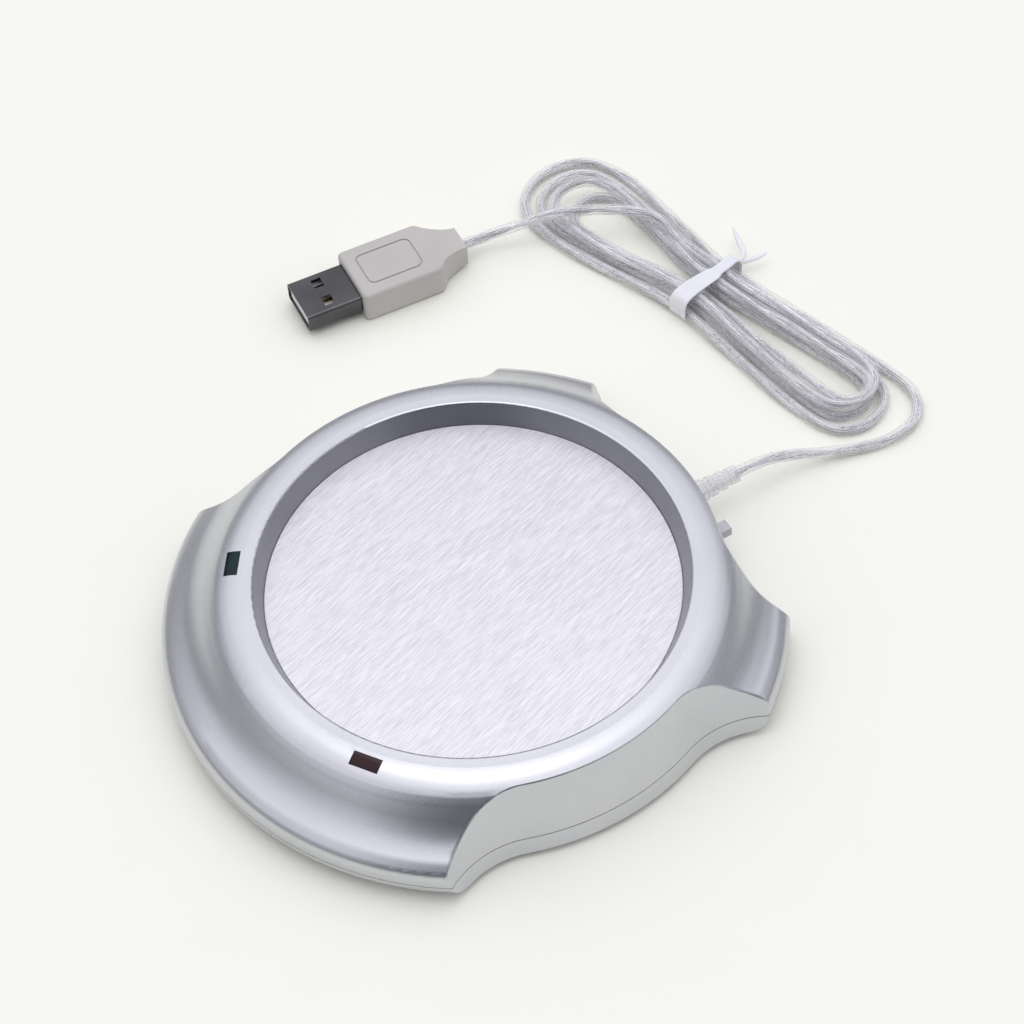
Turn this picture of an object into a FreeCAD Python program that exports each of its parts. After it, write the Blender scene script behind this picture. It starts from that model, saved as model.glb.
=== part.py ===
"""Mug warmer on a USB lead: a round two-part housing with three finger scallops, a brushed
heating plate in a recess, two indicator windows, a heater switch, and a hanked clear cord.

Frame: millimetres, +Z up, the origin on the surface that the feet stand on, under the middle
of the plate. The uncut front with the two windows faces -Y and the cord leaves towards +Y.
"""
import FreeCAD, Part

import math
import os
import re

import Sketcher

Vector = FreeCAD.Vector
Rotation = FreeCAD.Rotation
Placement = FreeCAD.Placement
UP = Vector(0, 0, 1)

# Driving dimensions in millimetres and degrees, by the word that the expressions use
SIZES = {
    # Housing
    "body_dia": 125.0,
    "rim_top": 19.5,
    "foot_proud": 1.5,
    "parting": 5.2,
    "skin": 1.8,
    "rim_bore": 86.0,
    "rim_round": 0.5,
    # Dome, from the rim outwards
    "crest_flat": 2.2,
    "crest_round": 6.5,
    "crest_turn": 52.0,
    "valley_round": 6.0,
    "shoulder_round": 60.0,
    "edge_round": 3.0,
    "skirt": 1.6,
    # Finger scallops
    "scallop_radius": 54.0,
    "scallop_half": 20.0,
    "flank_radius": 19.0,
    "flank_sweep": 75.0,
    "scallop_draft": 15.3,
    "scallop_edge": 0.7,
    # Base
    "base_round": 2.9,
    "lip_wall": 0.9,
    "lip_rise": 1.4,
    "fit_gap": 0.15,
    "thread_gap": 0.1,
    "seam_gap": 0.15,
    # Heating plate and what lies under it
    "recess_depth": 4.95,
    "recess_floor": 82.5,
    "plate_dia": 86.0,
    "plate_thick": 1.0,
    "plate_step": 0.4,
    "ring_wall": 1.6,
    "ring_depth": 2.4,
    "film_dia": 72.0,
    "film_thick": 0.3,
    "tab_place": 13.0,
    "tab_half": 5.0,
    "pad_thick": 2.2,
    "retainer_dia": 84.0,
    "retainer_thick": 1.0,
    "bead_tall": 0.8,
    "cutout_dia": 10.0,
    "ear_width": 7.0,
    "post_circle": 94.8,
    "post_dia": 4.8,
    # Indicator windows
    "window_circle": 94.8,
    "window_spread": 35.0,
    "window_long": 5.8,
    "window_wide": 2.7,
    "window_depth": 4.6,
    "window_flange": 0.9,
    # Circuit board
    "board_inner": 41.5,
    "board_outer": 52.6,
    "board_half": 46.0,
    "board_thick": 1.6,
    "board_level": 6.4,
    "board_post": 21.0,
    "board_post_circle": 99.0,
    # Heater switch
    "switch_offset": 12.0,
    "switch_face": 46.6,
    "switch_long": 8.6,
    "switch_deep": 4.4,
    "switch_tall": 4.7,
    "switch_level": 5.6,
    "lever_wide": 2.6,
    "lever_tall": 2.2,
    "lever_reach": 53.2,
    "lever_travel": 2.0,
    # Cord, bush and clamp
    "cord_dia": 2.5,
    "cord_level": 7.5,
    "bush_neck": 4.8,
    "bush_tip": 3.8,
    "bush_flange": 7.4,
    "bush_lip": 1.4,
    "bush_rib": 2.4,
    "lead_dia": 1.0,
    "clamp_place": 46.0,
    "clamp_half": 4.2,
    "clamp_post": 3.6,
    "clamp_thick": 1.6,
    # Fastenings and feet
    "case_circle": 112.0,
    "case_post": 5.6,
    "screw_dia": 2.2,
    "head_dia": 4.0,
    "head_tall": 1.5,
    "case_shank": 6.0,
    "ear_shank": 5.0,
    "foot_circle": 92.0,
    "foot_dia": 10.0,
    "foot_thick": 2.1,
    # Plug
    "shell_wide": 12.0,
    "shell_tall": 4.5,
    "shell_out": 13.0,
    "shell_in": 5.5,
    "shell_wall": 0.3,
    "grip_wide": 15.8,
    "grip_tall": 7.8,
    "grip_long": 20.0,
    "grip_taper": 7.0,
    "tail_dia": 5.4,
    "grip_neck": 6.8,
    "grip_corner": 1.2,
    "grip_soft_round": 0.9,
    "panel_long": 13.4,
    "panel_wide": 9.6,
    "shell_window_offset": 2.9,
    "tongue_thick": 1.85,
    "contact_thick": 0.15,
    "plug_x": -90.2,
    "plug_y": 49.4,
    "plug_turn": -94.8,
    # Hank and tie
    "hank_x": -50.0,
    "hank_y": 89.0,
    "hank_turn": 12.1,
    "waist_step": 3.2,
    "right_step": 3.0,
    "left_step": 3.4,
    "layer_step": 2.95,
    "strand_sides": 8,
    "waist_half": 5.5,
    "right_end": 41.0,
    "left_end": 39.5,
    "right_lobe": 5.0,
    "left_lobe": 6.6,
    "tie_wide": 4.0,
    "tie_thick": 0.45,
}

EAR_POSTS = (-90.0, 30.0, 150.0)
CASE_SCREWS = (-128.0, -52.0, 45.0, 135.0)
FEET = (-125.0, -55.0, 45.0, 135.0)

doc = FreeCAD.newDocument("MugWarmer")
sheet = doc.addObject("Spreadsheet::Sheet", "Sizes")
for row, (word, size) in enumerate(SIZES.items(), 1):
    sheet.set("A%d" % row, word)
    sheet.set("B%d" % row, str(size))
    sheet.setAlias("B%d" % row, word)
doc.recompute()

NODES = []


def size(expression):
    """The number that an expression over the sheet's words gives now."""
    return float(sheet.evalExpression(spelled(expression)))


def spelled(expression):
    """An expression in the sheet's words, with each word joined to the sheet's name."""
    return re.sub(r"[a-z_]+", lambda m: "Sizes." + m[0] if m[0] in SIZES else m[0], expression)


def bind(thing, prop, expression):
    thing.setExpression(prop, spelled(expression))


def named(thing, label):
    """Marks a finished sub-part and gives it the name of its file."""
    thing.Label = label
    NODES.append(thing)
    return thing


# Sketch helpers

def new_body(name):
    return doc.addObject("PartDesign::Body", name)


def new_sketch(body, name, role, lift="0", turned=0):
    """A sketch on one of the body's own planes, raised along its normal or turned upright."""
    sketch = body.newObject("Sketcher::SketchObject", name)
    planes = [one for one in body.Origin.OriginFeatures if one.Role == role]
    sketch.AttachmentSupport = [(planes[0], "")]
    sketch.MapMode = "FlatFace"
    sketch.AttachmentOffset = Placement(Vector(0, 0, size(lift)), Rotation(Vector(0, 1, 0), turned))
    bind(sketch, "AttachmentOffset.Base.z", lift)
    return sketch


def hold(sketch, kind, *what, to=None):
    """Adds a constraint, and binds it to an expression where it carries a size."""
    if to is None:
        sketch.addConstraint(Sketcher.Constraint(kind, *what))
        return
    value = size(to)
    if kind == "Angle":
        value = math.radians(value)
    index = sketch.addConstraint(Sketcher.Constraint(kind, *what, value))
    bind(sketch, "Constraints[%d]" % index, to)


def pin(sketch, edge, end, x, y):
    """Holds one end of an edge at a place given by two expressions."""
    hold(sketch, "DistanceX", edge, end, to=x)
    hold(sketch, "DistanceY", edge, end, to=y)


def polygon(sketch, corners):
    """A closed outline of straight edges through corners given as pairs of expressions."""
    spots = [Vector(size(x), size(y), 0) for x, y in corners]
    count = len(spots)
    first = sketch.GeometryCount
    for i in range(count):
        sketch.addGeometry(Part.LineSegment(spots[i], spots[(i + 1) % count]))
    for i in range(count):
        hold(sketch, "Coincident", first + i, 2, first + (i + 1) % count, 1)
    for i, (x, y) in enumerate(corners):
        pin(sketch, first + i, 1, x, y)


def circle(sketch, x, y, dia):
    index = sketch.addGeometry(Part.Circle(Vector(size(x), size(y), 0), UP, size(dia) / 2))
    pin(sketch, index, 3, x, y)
    hold(sketch, "Radius", index, to="(" + dia + ") / 2")
    return index


def pad(body, sketch, name, length, reverse=False, taper=None):
    feature = body.newObject("PartDesign::Pad", name)
    feature.Profile = sketch
    feature.Length = size(length)
    bind(feature, "Length", length)
    feature.Reversed = reverse
    if taper:
        feature.TaperAngle = size(taper)
        bind(feature, "TaperAngle", taper)
    doc.recompute()
    return feature


def pocket(body, sketch, name, length, reverse=False, taper=None):
    """A cut that has to take something away from the body."""
    before = body.Shape.Volume
    feature = body.newObject("PartDesign::Pocket", name)
    feature.Profile = sketch
    feature.Type = "Length"
    feature.Length = size(length)
    bind(feature, "Length", length)
    feature.Reversed = reverse
    if taper:
        feature.TaperAngle = size(taper)
        bind(feature, "TaperAngle", taper)
    doc.recompute()
    if body.Shape.Volume >= before - 0.01:
        raise ValueError(name + " cuts nothing")
    return feature


def revolve(body, sketch, name):
    feature = body.newObject("PartDesign::Revolution", name)
    feature.Profile = sketch
    feature.ReferenceAxis = (sketch, ["V_Axis"])
    feature.Angle = 360
    doc.recompute()
    return feature


def ring_of(body, feature, sketch, name, count, sweep=360):
    """The same feature repeated about the vertical axis."""
    pattern = body.newObject("PartDesign::PolarPattern", name)
    pattern.Originals = [feature]
    pattern.Axis = (sketch, ["N_Axis"])
    pattern.Angle = sweep
    pattern.Occurrences = count
    body.Tip = pattern
    doc.recompute()
    return pattern


def rounded(body, name, radius, chosen):
    """Rounds the edges of the body's tip that the test picks out."""
    base = body.Tip
    edges = ["Edge%d" % i for i, edge in enumerate(base.Shape.Edges, 1) if chosen(edge)]
    if not edges:
        raise ValueError(name + " finds no edge")
    feature = body.newObject("PartDesign::Fillet", name)
    feature.Base = (base, edges)
    feature.Radius = size(radius)
    bind(feature, "Radius", radius)
    doc.recompute()
    return feature


# Boolean and primitive helpers

def cut(name, base, tool):
    result = doc.addObject("Part::Cut", name)
    result.Base = base
    result.Tool = tool
    return result


def fuse(name, pieces):
    result = doc.addObject("Part::MultiFuse", name)
    result.Shapes = pieces
    return result


def common(name, first, second):
    result = doc.addObject("Part::MultiCommon", name)
    result.Shapes = [first, second]
    return result


def spot(radius, angle):
    """Two expressions for a place at a radius and an angle about the vertical axis."""
    return "(%s) * cos(%s)" % (radius, angle), "(%s) * sin(%s)" % (radius, angle)


def put(thing, x, y, z, turn=0.0, axis=UP):
    """Places a thing by three expressions, after a fixed turn about an axis."""
    thing.Placement = Placement(Vector(0, 0, 0), Rotation(axis, turn))
    for letter, expression in zip("xyz", (x, y, z)):
        bind(thing, "Placement.Base." + letter, expression)
    return thing


def rod(name, dia, length, x, y, z, turn=0.0, axis=UP):
    """A cylinder that stands up from its place, or lies along a turned axis."""
    thing = doc.addObject("Part::Cylinder", name)
    bind(thing, "Radius", "(" + dia + ") / 2")
    bind(thing, "Height", length)
    return put(thing, x, y, z, turn, axis)


def block(name, long, wide, tall, x, y, z):
    """A box by its three sides, placed by the middle of its lower face."""
    thing = doc.addObject("Part::Box", name)
    bind(thing, "Length", long)
    bind(thing, "Width", wide)
    bind(thing, "Height", tall)
    return put(thing, "(%s) - (%s) / 2" % (x, long), "(%s) - (%s) / 2" % (y, wide), z)


# Housing: the lobed form that both covers share

# Turned profiles are drawn towards the front, so that their seams stay clear of the scallops
TO_FRONT = -90
BODY_R = "body_dia / 2"
# The back scallop's middle: its outer face at the cord, and its inner face above the bush's
# flange and at the seam
WALL_OUT = "scallop_radius - (cord_level - foot_proud) * tan(scallop_draft)"
FLANGE_FACE = ("scallop_radius - (cord_level + bush_flange / 2 - foot_proud) * tan(scallop_draft)"
               " - skin - 0.1")
LIP_FACE = "scallop_radius - (parting - foot_proud) * tan(scallop_draft) - skin"
RING_R = "plate_dia / 2 + fit_gap + ring_wall"
PLATE_TOP = "rim_top - recess_depth"
PLATE_LOW = PLATE_TOP + " - plate_thick"
FILM_LOW = PLATE_LOW + " - film_thick"
PAD_LOW = FILM_LOW + " - pad_thick"
RETAINER_LOW = PAD_LOW + " - retainer_thick"


def scallops(body, inset):
    """Three drafted finger scallops at +X, +Y and -X; a core's are set back by the skin."""
    sketch = new_sketch(body, body.Name + "_scallop", "XY_Plane", "foot_proud")
    floor_r = "scallop_radius - (%s)" % inset
    flank_r = "flank_radius + (%s)" % inset
    reach = "scallop_radius + flank_radius"
    half = math.radians(size("scallop_half"))
    sweep = math.radians(size("flank_sweep"))
    start = Vector(math.cos(half), math.sin(half), 0) * size(floor_r)
    middle = Vector(math.cos(half), math.sin(half), 0) * size(reach)

    def on_flank(turned):
        angle = half + math.pi - turned
        return middle + Vector(math.cos(angle), math.sin(angle), 0) * size(flank_r)

    def mirrored(point):
        return Vector(point.x, -point.y, 0)

    tip = on_flank(sweep)
    far = Vector(size("body_dia * 0.62"), tip.y, 0)
    half_way = on_flank(sweep / 2)
    sketch.addGeometry([
        Part.Arc(mirrored(start), Vector(size(floor_r), 0, 0), start),
        Part.Arc(start, half_way, tip),
        Part.LineSegment(tip, far),
        Part.LineSegment(far, mirrored(far)),
        Part.LineSegment(mirrored(far), mirrored(tip)),
        Part.Arc(mirrored(tip), mirrored(half_way), mirrored(start)),
    ])
    hold(sketch, "Coincident", 0, 3, -1, 1)
    hold(sketch, "Radius", 0, to=floor_r)
    hold(sketch, "Tangent", 0, 2, 1, 2)
    hold(sketch, "Tangent", 5, 1, 0, 1)
    pin(sketch, 1, 3, "(%s) * cos(scallop_half)" % reach, "(%s) * sin(scallop_half)" % reach)
    pin(sketch, 5, 3, "(%s) * cos(scallop_half)" % reach, "-(%s) * sin(scallop_half)" % reach)
    hold(sketch, "Angle", 1, to="flank_sweep")
    hold(sketch, "Angle", 5, to="flank_sweep")
    hold(sketch, "Coincident", 1, 1, 2, 1)
    hold(sketch, "Coincident", 2, 2, 3, 1)
    hold(sketch, "Coincident", 3, 2, 4, 1)
    hold(sketch, "Coincident", 4, 2, 5, 2)
    hold(sketch, "Horizontal", 2)
    hold(sketch, "Vertical", 3)
    hold(sketch, "Horizontal", 4)
    hold(sketch, "DistanceX", 2, 2, to="body_dia * 0.62")
    cutter = pocket(body, sketch, body.Name + "_cut", "rim_top", True, "scallop_draft")
    ring_of(body, cutter, sketch, body.Name + "_cuts", 3, 180)


def dome(sketch, inset, ring):
    """The dome's curve from the crest to the seam, closed by straight edges through ring."""
    rise = math.radians(size("crest_turn"))
    edge_r = size("edge_round - (%s)" % inset)
    shoulder_r = size("shoulder_round - (%s)" % inset)
    crest = Vector(size("rim_bore / 2 + crest_flat"), size("rim_top - (%s)" % inset), 0)
    base = Vector(size(BODY_R + " - (%s)" % inset), size("parting + skirt"), 0)

    def swung(start, radius, first, last):
        """The middle and the end of an arc that starts at one slope and ends at another."""
        side = 1 if last > first else -1
        hub = start - Vector(math.sin(first), math.cos(first), 0) * radius * side
        return [hub + Vector(math.sin(a), math.cos(a), 0) * radius * side
                for a in ((first + last) / 2, last)]

    crest_half, slope = swung(crest, size("crest_round - (%s)" % inset), 0, rise)
    low, high = 0.0, rise
    for _ in range(60):
        fall = (low + high) / 2
        valley_half, shoulder = swung(slope, size("valley_round + (%s)" % inset), rise, fall)
        across = base.x - shoulder.x + shoulder_r * math.sin(fall) - edge_r
        turn = math.asin(min(1.0, across / (shoulder_r - edge_r)))
        shoulder_half, edge = swung(shoulder, shoulder_r, fall, turn)
        edge_half, foot = swung(edge, edge_r, turn, math.pi / 2)
        if foot.y < base.y:
            high = fall
        else:
            low = fall
    spots = [Vector(size(x), size(y), 0) for x, y in ring]
    sketch.addGeometry([
        Part.LineSegment(spots[-1], crest),
        Part.Arc(crest, crest_half, slope),
        Part.Arc(slope, valley_half, shoulder),
        Part.Arc(shoulder, shoulder_half, edge),
        Part.Arc(edge, edge_half, foot),
        Part.LineSegment(foot, spots[0]),
    ])
    for i in range(len(spots) - 1):
        sketch.addGeometry(Part.LineSegment(spots[i], spots[i + 1]))
    # The ends of arcs run counter-clockwise, so a convex arc starts at its lower end
    hold(sketch, "Tangent", 0, 2, 1, 2)
    hold(sketch, "Tangent", 1, 1, 2, 1)
    hold(sketch, "Tangent", 2, 2, 3, 2)
    hold(sketch, "Tangent", 3, 1, 4, 2)
    hold(sketch, "Tangent", 4, 1, 5, 1)
    hold(sketch, "Horizontal", 0)
    hold(sketch, "Vertical", 5)
    hold(sketch, "Radius", 1, to="crest_round - (%s)" % inset)
    hold(sketch, "Radius", 2, to="valley_round + (%s)" % inset)
    hold(sketch, "Radius", 4, to="edge_round - (%s)" % inset)
    hold(sketch, "Angle", 1, to="crest_turn")
    hold(sketch, "Radius", 3, to="shoulder_round - (%s)" % inset)
    hold(sketch, "DistanceX", 0, 2, to="rim_bore / 2 + crest_flat")
    hold(sketch, "DistanceY", 5, 1, to="parting + skirt")
    count = len(ring)
    for i in range(count - 1):
        hold(sketch, "Coincident", 5 + i, 2, 6 + i, 1)
        pin(sketch, 6 + i, 1, *ring[i])
    hold(sketch, "Coincident", 4 + count, 2, 0, 1)
    pin(sketch, 0, 1, *ring[-1])


def on_scallop(point):
    """How far round from its middle a point on a scallop's outer wall lies, else None."""
    angle = math.degrees(math.atan2(point.y, point.x))
    sector = min((0.0, 90.0, 180.0, -180.0), key=lambda a: abs(angle - a))
    turned = math.radians(angle - sector)
    radius = math.hypot(point.x, point.y)
    x, y = radius * math.cos(turned), abs(radius * math.sin(turned))
    lean = (point.z - size("foot_proud")) * math.tan(math.radians(size("scallop_draft")))
    half = math.radians(size("scallop_half"))
    reach = size("scallop_radius + flank_radius")
    off_floor = radius - (size("scallop_radius") - lean)
    off_flank = (size("flank_radius") + lean
                 - math.hypot(x - reach * math.cos(half), y - reach * math.sin(half)))
    off = off_floor if abs(turned) <= half else off_flank
    return abs(math.degrees(turned)) if abs(off) < 0.02 else None


def scallop_edge(lowest, highest):
    """A test for the edges that bound a scallop's wall between two heights."""
    def chosen(edge):
        first, last = edge.ParameterRange
        points = [edge.valueAt(first + (last - first) * k / 4) for k in range(5)]
        places = [on_scallop(p) for p in points]
        if None in places or any(not lowest <= p.z <= highest for p in points):
            return False
        # The seams where a scallop's floor runs smoothly into its flanks stay as they are
        if all(abs(place - size("scallop_half")) < 0.2 for place in places):
            return False
        return max(p.z for p in points) > lowest + 0.1
    return chosen


# Covers

def core(name, inset, foot):
    """The hollow inside the dome, set in from its outer faces, down to a height."""
    body = new_body(name)
    sketch = new_sketch(body, name + "_outline", "XZ_Plane", turned=TO_FRONT)
    dome(sketch, inset, [
        (BODY_R + " - (%s)" % inset, foot),
        (RING_R, foot),
        (RING_R, "rim_top - (%s)" % inset),
    ])
    doc.recompute()
    revolve(body, sketch, name + "_turned")
    scallops(body, inset)
    return body


def plate_seat():
    """The cover's edges around the plate: the ring that centres it, its seat, the rim."""
    clear = "plate_dia / 2 + fit_gap"
    ring_low = PLATE_TOP + " - ring_depth"
    return [
        (BODY_R, "parting"),
        (RING_R, "parting"),
        (RING_R, ring_low),
        (clear, ring_low),
        (clear, PLATE_TOP + " - plate_step"),
        ("recess_floor / 2", PLATE_TOP + " - plate_step"),
        ("recess_floor / 2", PLATE_TOP),
        ("rim_bore / 2", "rim_top"),
    ]


def cover_outer():
    body = new_body("cover_outer")
    sketch = new_sketch(body, "cover_outline", "XZ_Plane", turned=TO_FRONT)
    dome(sketch, "0", plate_seat())
    doc.recompute()
    revolve(body, sketch, "cover_turned")
    scallops(body, "0")
    top = size("rim_top")
    rounded(body, "scallop_softened", "scallop_edge", scallop_edge(size("parting") - 0.01, top))
    rim = size("rim_bore / 2")

    def is_rim(edge):
        box = edge.BoundBox
        return abs(box.ZMin - top) < 0.001 and abs(box.XMax - rim) < 0.001

    rounded(body, "rim_softened", "rim_round", is_rim)
    return body


def window_hole(name, angle, grown, low, high, grown_across=None):
    """A box through the crest at one of the windows, its long side along the rim."""
    long = "window_long + 2 * (%s)" % grown
    wide = "window_wide + 2 * (%s)" % (grown_across or grown)
    tall = "(%s) - (%s)" % (high, low)
    x, y = spot("window_circle / 2 - (%s) / 2" % wide, angle)
    thing = doc.addObject("Part::Box", name)
    bind(thing, "Length", wide)
    bind(thing, "Width", long)
    bind(thing, "Height", tall)
    thing.Placement = Placement(Vector(0, 0, 0), Rotation(UP, 0))
    bind(thing, "Placement.Rotation.Angle", angle)
    side_x, side_y = spot("-(%s) / 2" % long, "(%s) + 90" % angle)
    bind(thing, "Placement.Base.x", x + " + " + side_x)
    bind(thing, "Placement.Base.y", y + " + " + side_y)
    bind(thing, "Placement.Base.z", low)
    return thing


def window_angles():
    return {"power": "-90 - window_spread", "heat": "-90 + window_spread"}


def switch_wall_cut(name, grown_long, grown_tall):
    """The slot that the switch's lever runs in, cut straight through the back scallop."""
    return block(
        name, "lever_wide + lever_travel + 2 * (%s)" % grown_long, "12",
        "lever_tall + 2 * (%s)" % grown_tall, "switch_offset", "lever_reach",
        "switch_level + switch_tall / 2 - lever_tall / 2 - (%s)" % grown_tall)


def along_y(name, dia, length, y, z="cord_level", x="0"):
    """A cylinder that lies along +Y from a place."""
    return rod(name, dia, length, x, y, z, -90, Vector(1, 0, 0))


def top_cover(outer, hollow):
    """The silver upper shell: lobed dome, drafted scallops, recess wall and its posts."""
    shell = cut("cover_shell", outer, hollow)
    posts = []
    drills = []
    post_low = RETAINER_LOW + " + retainer_thick"
    for i, angle in enumerate(EAR_POSTS):
        x, y = spot("post_circle / 2", str(angle))
        posts.append(rod("ear_post_%d" % i, "post_dia", "rim_top - (%s)" % post_low, x, y, post_low))
        drills.append(rod("ear_drill_%d" % i, "screw_dia + thread_gap", "5.2", x, y, post_low))
    for i, angle in enumerate(CASE_SCREWS):
        x, y = spot("case_circle / 2", str(angle))
        posts.append(rod("case_post_%d" % i, "case_post", "rim_top - parting - 0.2", x, y, "parting + 0.2"))
        drills.append(rod("case_drill_%d" % i, "screw_dia + thread_gap", "4.2", x, y, "parting"))
    inside = common("posts_inside", fuse("posts", posts), hollow)
    holes = drills + [
        window_hole(word + "_hole", angle, "0.05", "rim_top - 6", "rim_top + 1")
        for word, angle in window_angles().items()
    ]
    holes.append(switch_wall_cut("lever_slot", "0.35", "0.3"))
    holes.append(along_y("cord_hole", "bush_neck + 0.1", "12", "scallop_radius - 8"))
    holes.append(block("cord_notch", "bush_neck + 0.1", "12", "cord_level - parting + 1", "0",
                       "scallop_radius - 2", "parting - 1"))
    return cut("cover_done", fuse("cover_posts", [shell, inside]), fuse("cover_holes", holes))


def tray_outline(body, name, inset, low, high, bottom_round):
    """A round disc with its lower corner turned under, on the housing's outline."""
    sketch = new_sketch(body, name, "XZ_Plane", turned=TO_FRONT)
    outer_r = BODY_R + " - (%s)" % inset
    polygon(sketch, [("0", low), (outer_r, low), (outer_r, high), ("0", high)])
    doc.recompute()
    revolve(body, sketch, name + "_turned")
    if bottom_round:
        floor_z = size(low)

        def is_bottom(edge):
            box = edge.BoundBox
            return abs(box.ZMax - floor_z) < 0.001 and box.ZMax - box.ZMin < 0.001

        rounded(body, name + "_round", bottom_round, is_bottom)


def tray(name, inset, low, high, bottom_round=None):
    body = new_body(name)
    tray_outline(body, name + "_outline", inset, low, high, bottom_round)
    scallops(body, inset)
    return body


def base_cover():
    """The lower shell: a tray with a lip that nests in the upper shell, and its posts."""
    outer = tray("base_outer", "0", "foot_proud", "parting - seam_gap", "base_round")
    inner = tray("base_inner", "skin", "foot_proud + skin", "parting + 3", "base_round - skin")
    lip_out = tray("lip_outer", "skin + fit_gap", "parting - skin", "parting + lip_rise")
    lip_in = tray("lip_inner", "skin + fit_gap + lip_wall", "parting - skin - 1", "parting + 3")
    shell = fuse("base_shell", [cut("base_tray", outer, inner), cut("lip", lip_out, lip_in)])
    floor_top = "foot_proud + skin"
    posts = []
    drills = []
    for i, angle in enumerate(CASE_SCREWS):
        x, y = spot("case_circle / 2", str(angle))
        posts.append(rod("base_post_%d" % i, "case_post + 0.8", "parting - foot_proud", x, y, "foot_proud"))
        drills.append(rod("base_bore_%d" % i, "screw_dia + 0.4", "8", x, y, "foot_proud - 1"))
        drills.append(rod("base_sink_%d" % i, "head_dia + 0.4", "head_tall + 0.4", x, y, "foot_proud - 0.1"))
    for i, angle in enumerate(FEET):
        x, y = spot("foot_circle / 2", str(angle))
        drills.append(rod("foot_seat_%d" % i, "foot_dia + 0.3", "foot_thick - foot_proud + 0.1", x, y,
                          "foot_proud - 0.1"))
    for i, angle in enumerate(("-90 - board_post", "-90 + board_post")):
        x, y = spot("board_post_circle / 2", angle)
        posts.append(rod("board_post_%d" % i, "post_dia", "board_level - (%s)" % floor_top, x, y, floor_top))
        drills.append(rod("board_drill_%d" % i, "screw_dia + thread_gap", "2.6", x, y, "board_level - 2.6"))
    for i, side in enumerate(("-clamp_half", "clamp_half")):
        post_high = "cord_level + cord_dia / 2 + fit_gap"
        posts.append(rod("clamp_post_%d" % i, "clamp_post", "(%s) - (%s)" % (post_high, floor_top),
                         side, "clamp_place", floor_top))
        drills.append(rod("clamp_drill_%d" % i, "screw_dia + thread_gap", "3.4", side, "clamp_place",
                          post_high + " - 3.4"))
    posts.append(block("cord_saddle", "3.6", "3.2", "cord_level - cord_dia / 2 - (%s)" % floor_top,
                       "0", "clamp_place", floor_top))
    posts.append(block("switch_stand", "switch_long", "switch_deep - 0.4",
                       "switch_level - (%s)" % floor_top, "switch_offset",
                       "switch_face - switch_deep / 2", floor_top))
    for i, side in enumerate(("-1", "1")):
        posts.append(block(
            "switch_cheek_%d" % i, "1.0", "switch_deep - 0.4", "switch_level + 3 - (%s)" % floor_top,
            "switch_offset + %s * (switch_long / 2 + 0.6)" % side, "switch_face - switch_deep / 2",
            floor_top))
    drills.append(block("flange_notch", "bush_flange + 0.3", "6", "8", "0", LIP_FACE + " - 3",
                        "cord_level - bush_flange / 2 - 0.15"))
    return cut("base_done", fuse("base_posts", [shell] + posts), fuse("base_holes", drills))


# Heating stack

def disc(name, dia, low, tall):
    """A round plate centred on the axis."""
    body = new_body(name)
    sketch = new_sketch(body, name + "_outline", "XY_Plane", low)
    circle(sketch, "0", "0", dia)
    pad(body, sketch, name + "_pad", tall)
    return body


def heating_plate():
    """The brushed metal disc that the cup stands on; its sunk edge lies under the cover's seat."""
    body = disc("plate", "plate_dia", PLATE_LOW, "plate_thick - plate_step")
    sketch = new_sketch(body, "plate_middle", "XY_Plane", PLATE_TOP + " - plate_step")
    circle(sketch, "0", "0", "recess_floor - 2 * fit_gap")
    pad(body, sketch, "plate_raised", "plate_step")
    return named(body, "heating_plate")


def film_heater():
    """The foil heater: a thin disc with a tab that carries its two terminals."""
    body = disc("film", "film_dia", FILM_LOW, "film_thick")
    sketch = new_sketch(body, "film_tab", "XY_Plane", FILM_LOW)
    inner = "-(film_dia / 2 - 8)"
    outer = "-(film_dia / 2 + 2.5)"
    polygon(sketch, [("tab_place - tab_half", inner), ("tab_place - tab_half", outer),
                     ("tab_place + tab_half", outer), ("tab_place + tab_half", inner)])
    pad(body, sketch, "film_tab_pad", "film_thick")
    return named(body, "film_heater")


def insulation_pad():
    """The felt disc that keeps the heat off the base, notched for the heater's tab."""
    body = disc("felt", "film_dia", PAD_LOW, "pad_thick")
    sketch = new_sketch(body, "felt_notch", "XY_Plane", PAD_LOW)
    outer = "-(film_dia / 2 + 4)"
    inner = "-(film_dia / 2 - 5)"
    polygon(sketch, [("tab_place - tab_half - 0.5", outer), ("tab_place + tab_half + 0.5", outer),
                     ("tab_place + tab_half + 0.5", inner), ("tab_place - tab_half - 0.5", inner)])
    circle(sketch, "0", "0", "cutout_dia + 0.6")
    pocket(body, sketch, "felt_notched", "pad_thick", True)
    return named(body, "insulation_pad")


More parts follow.
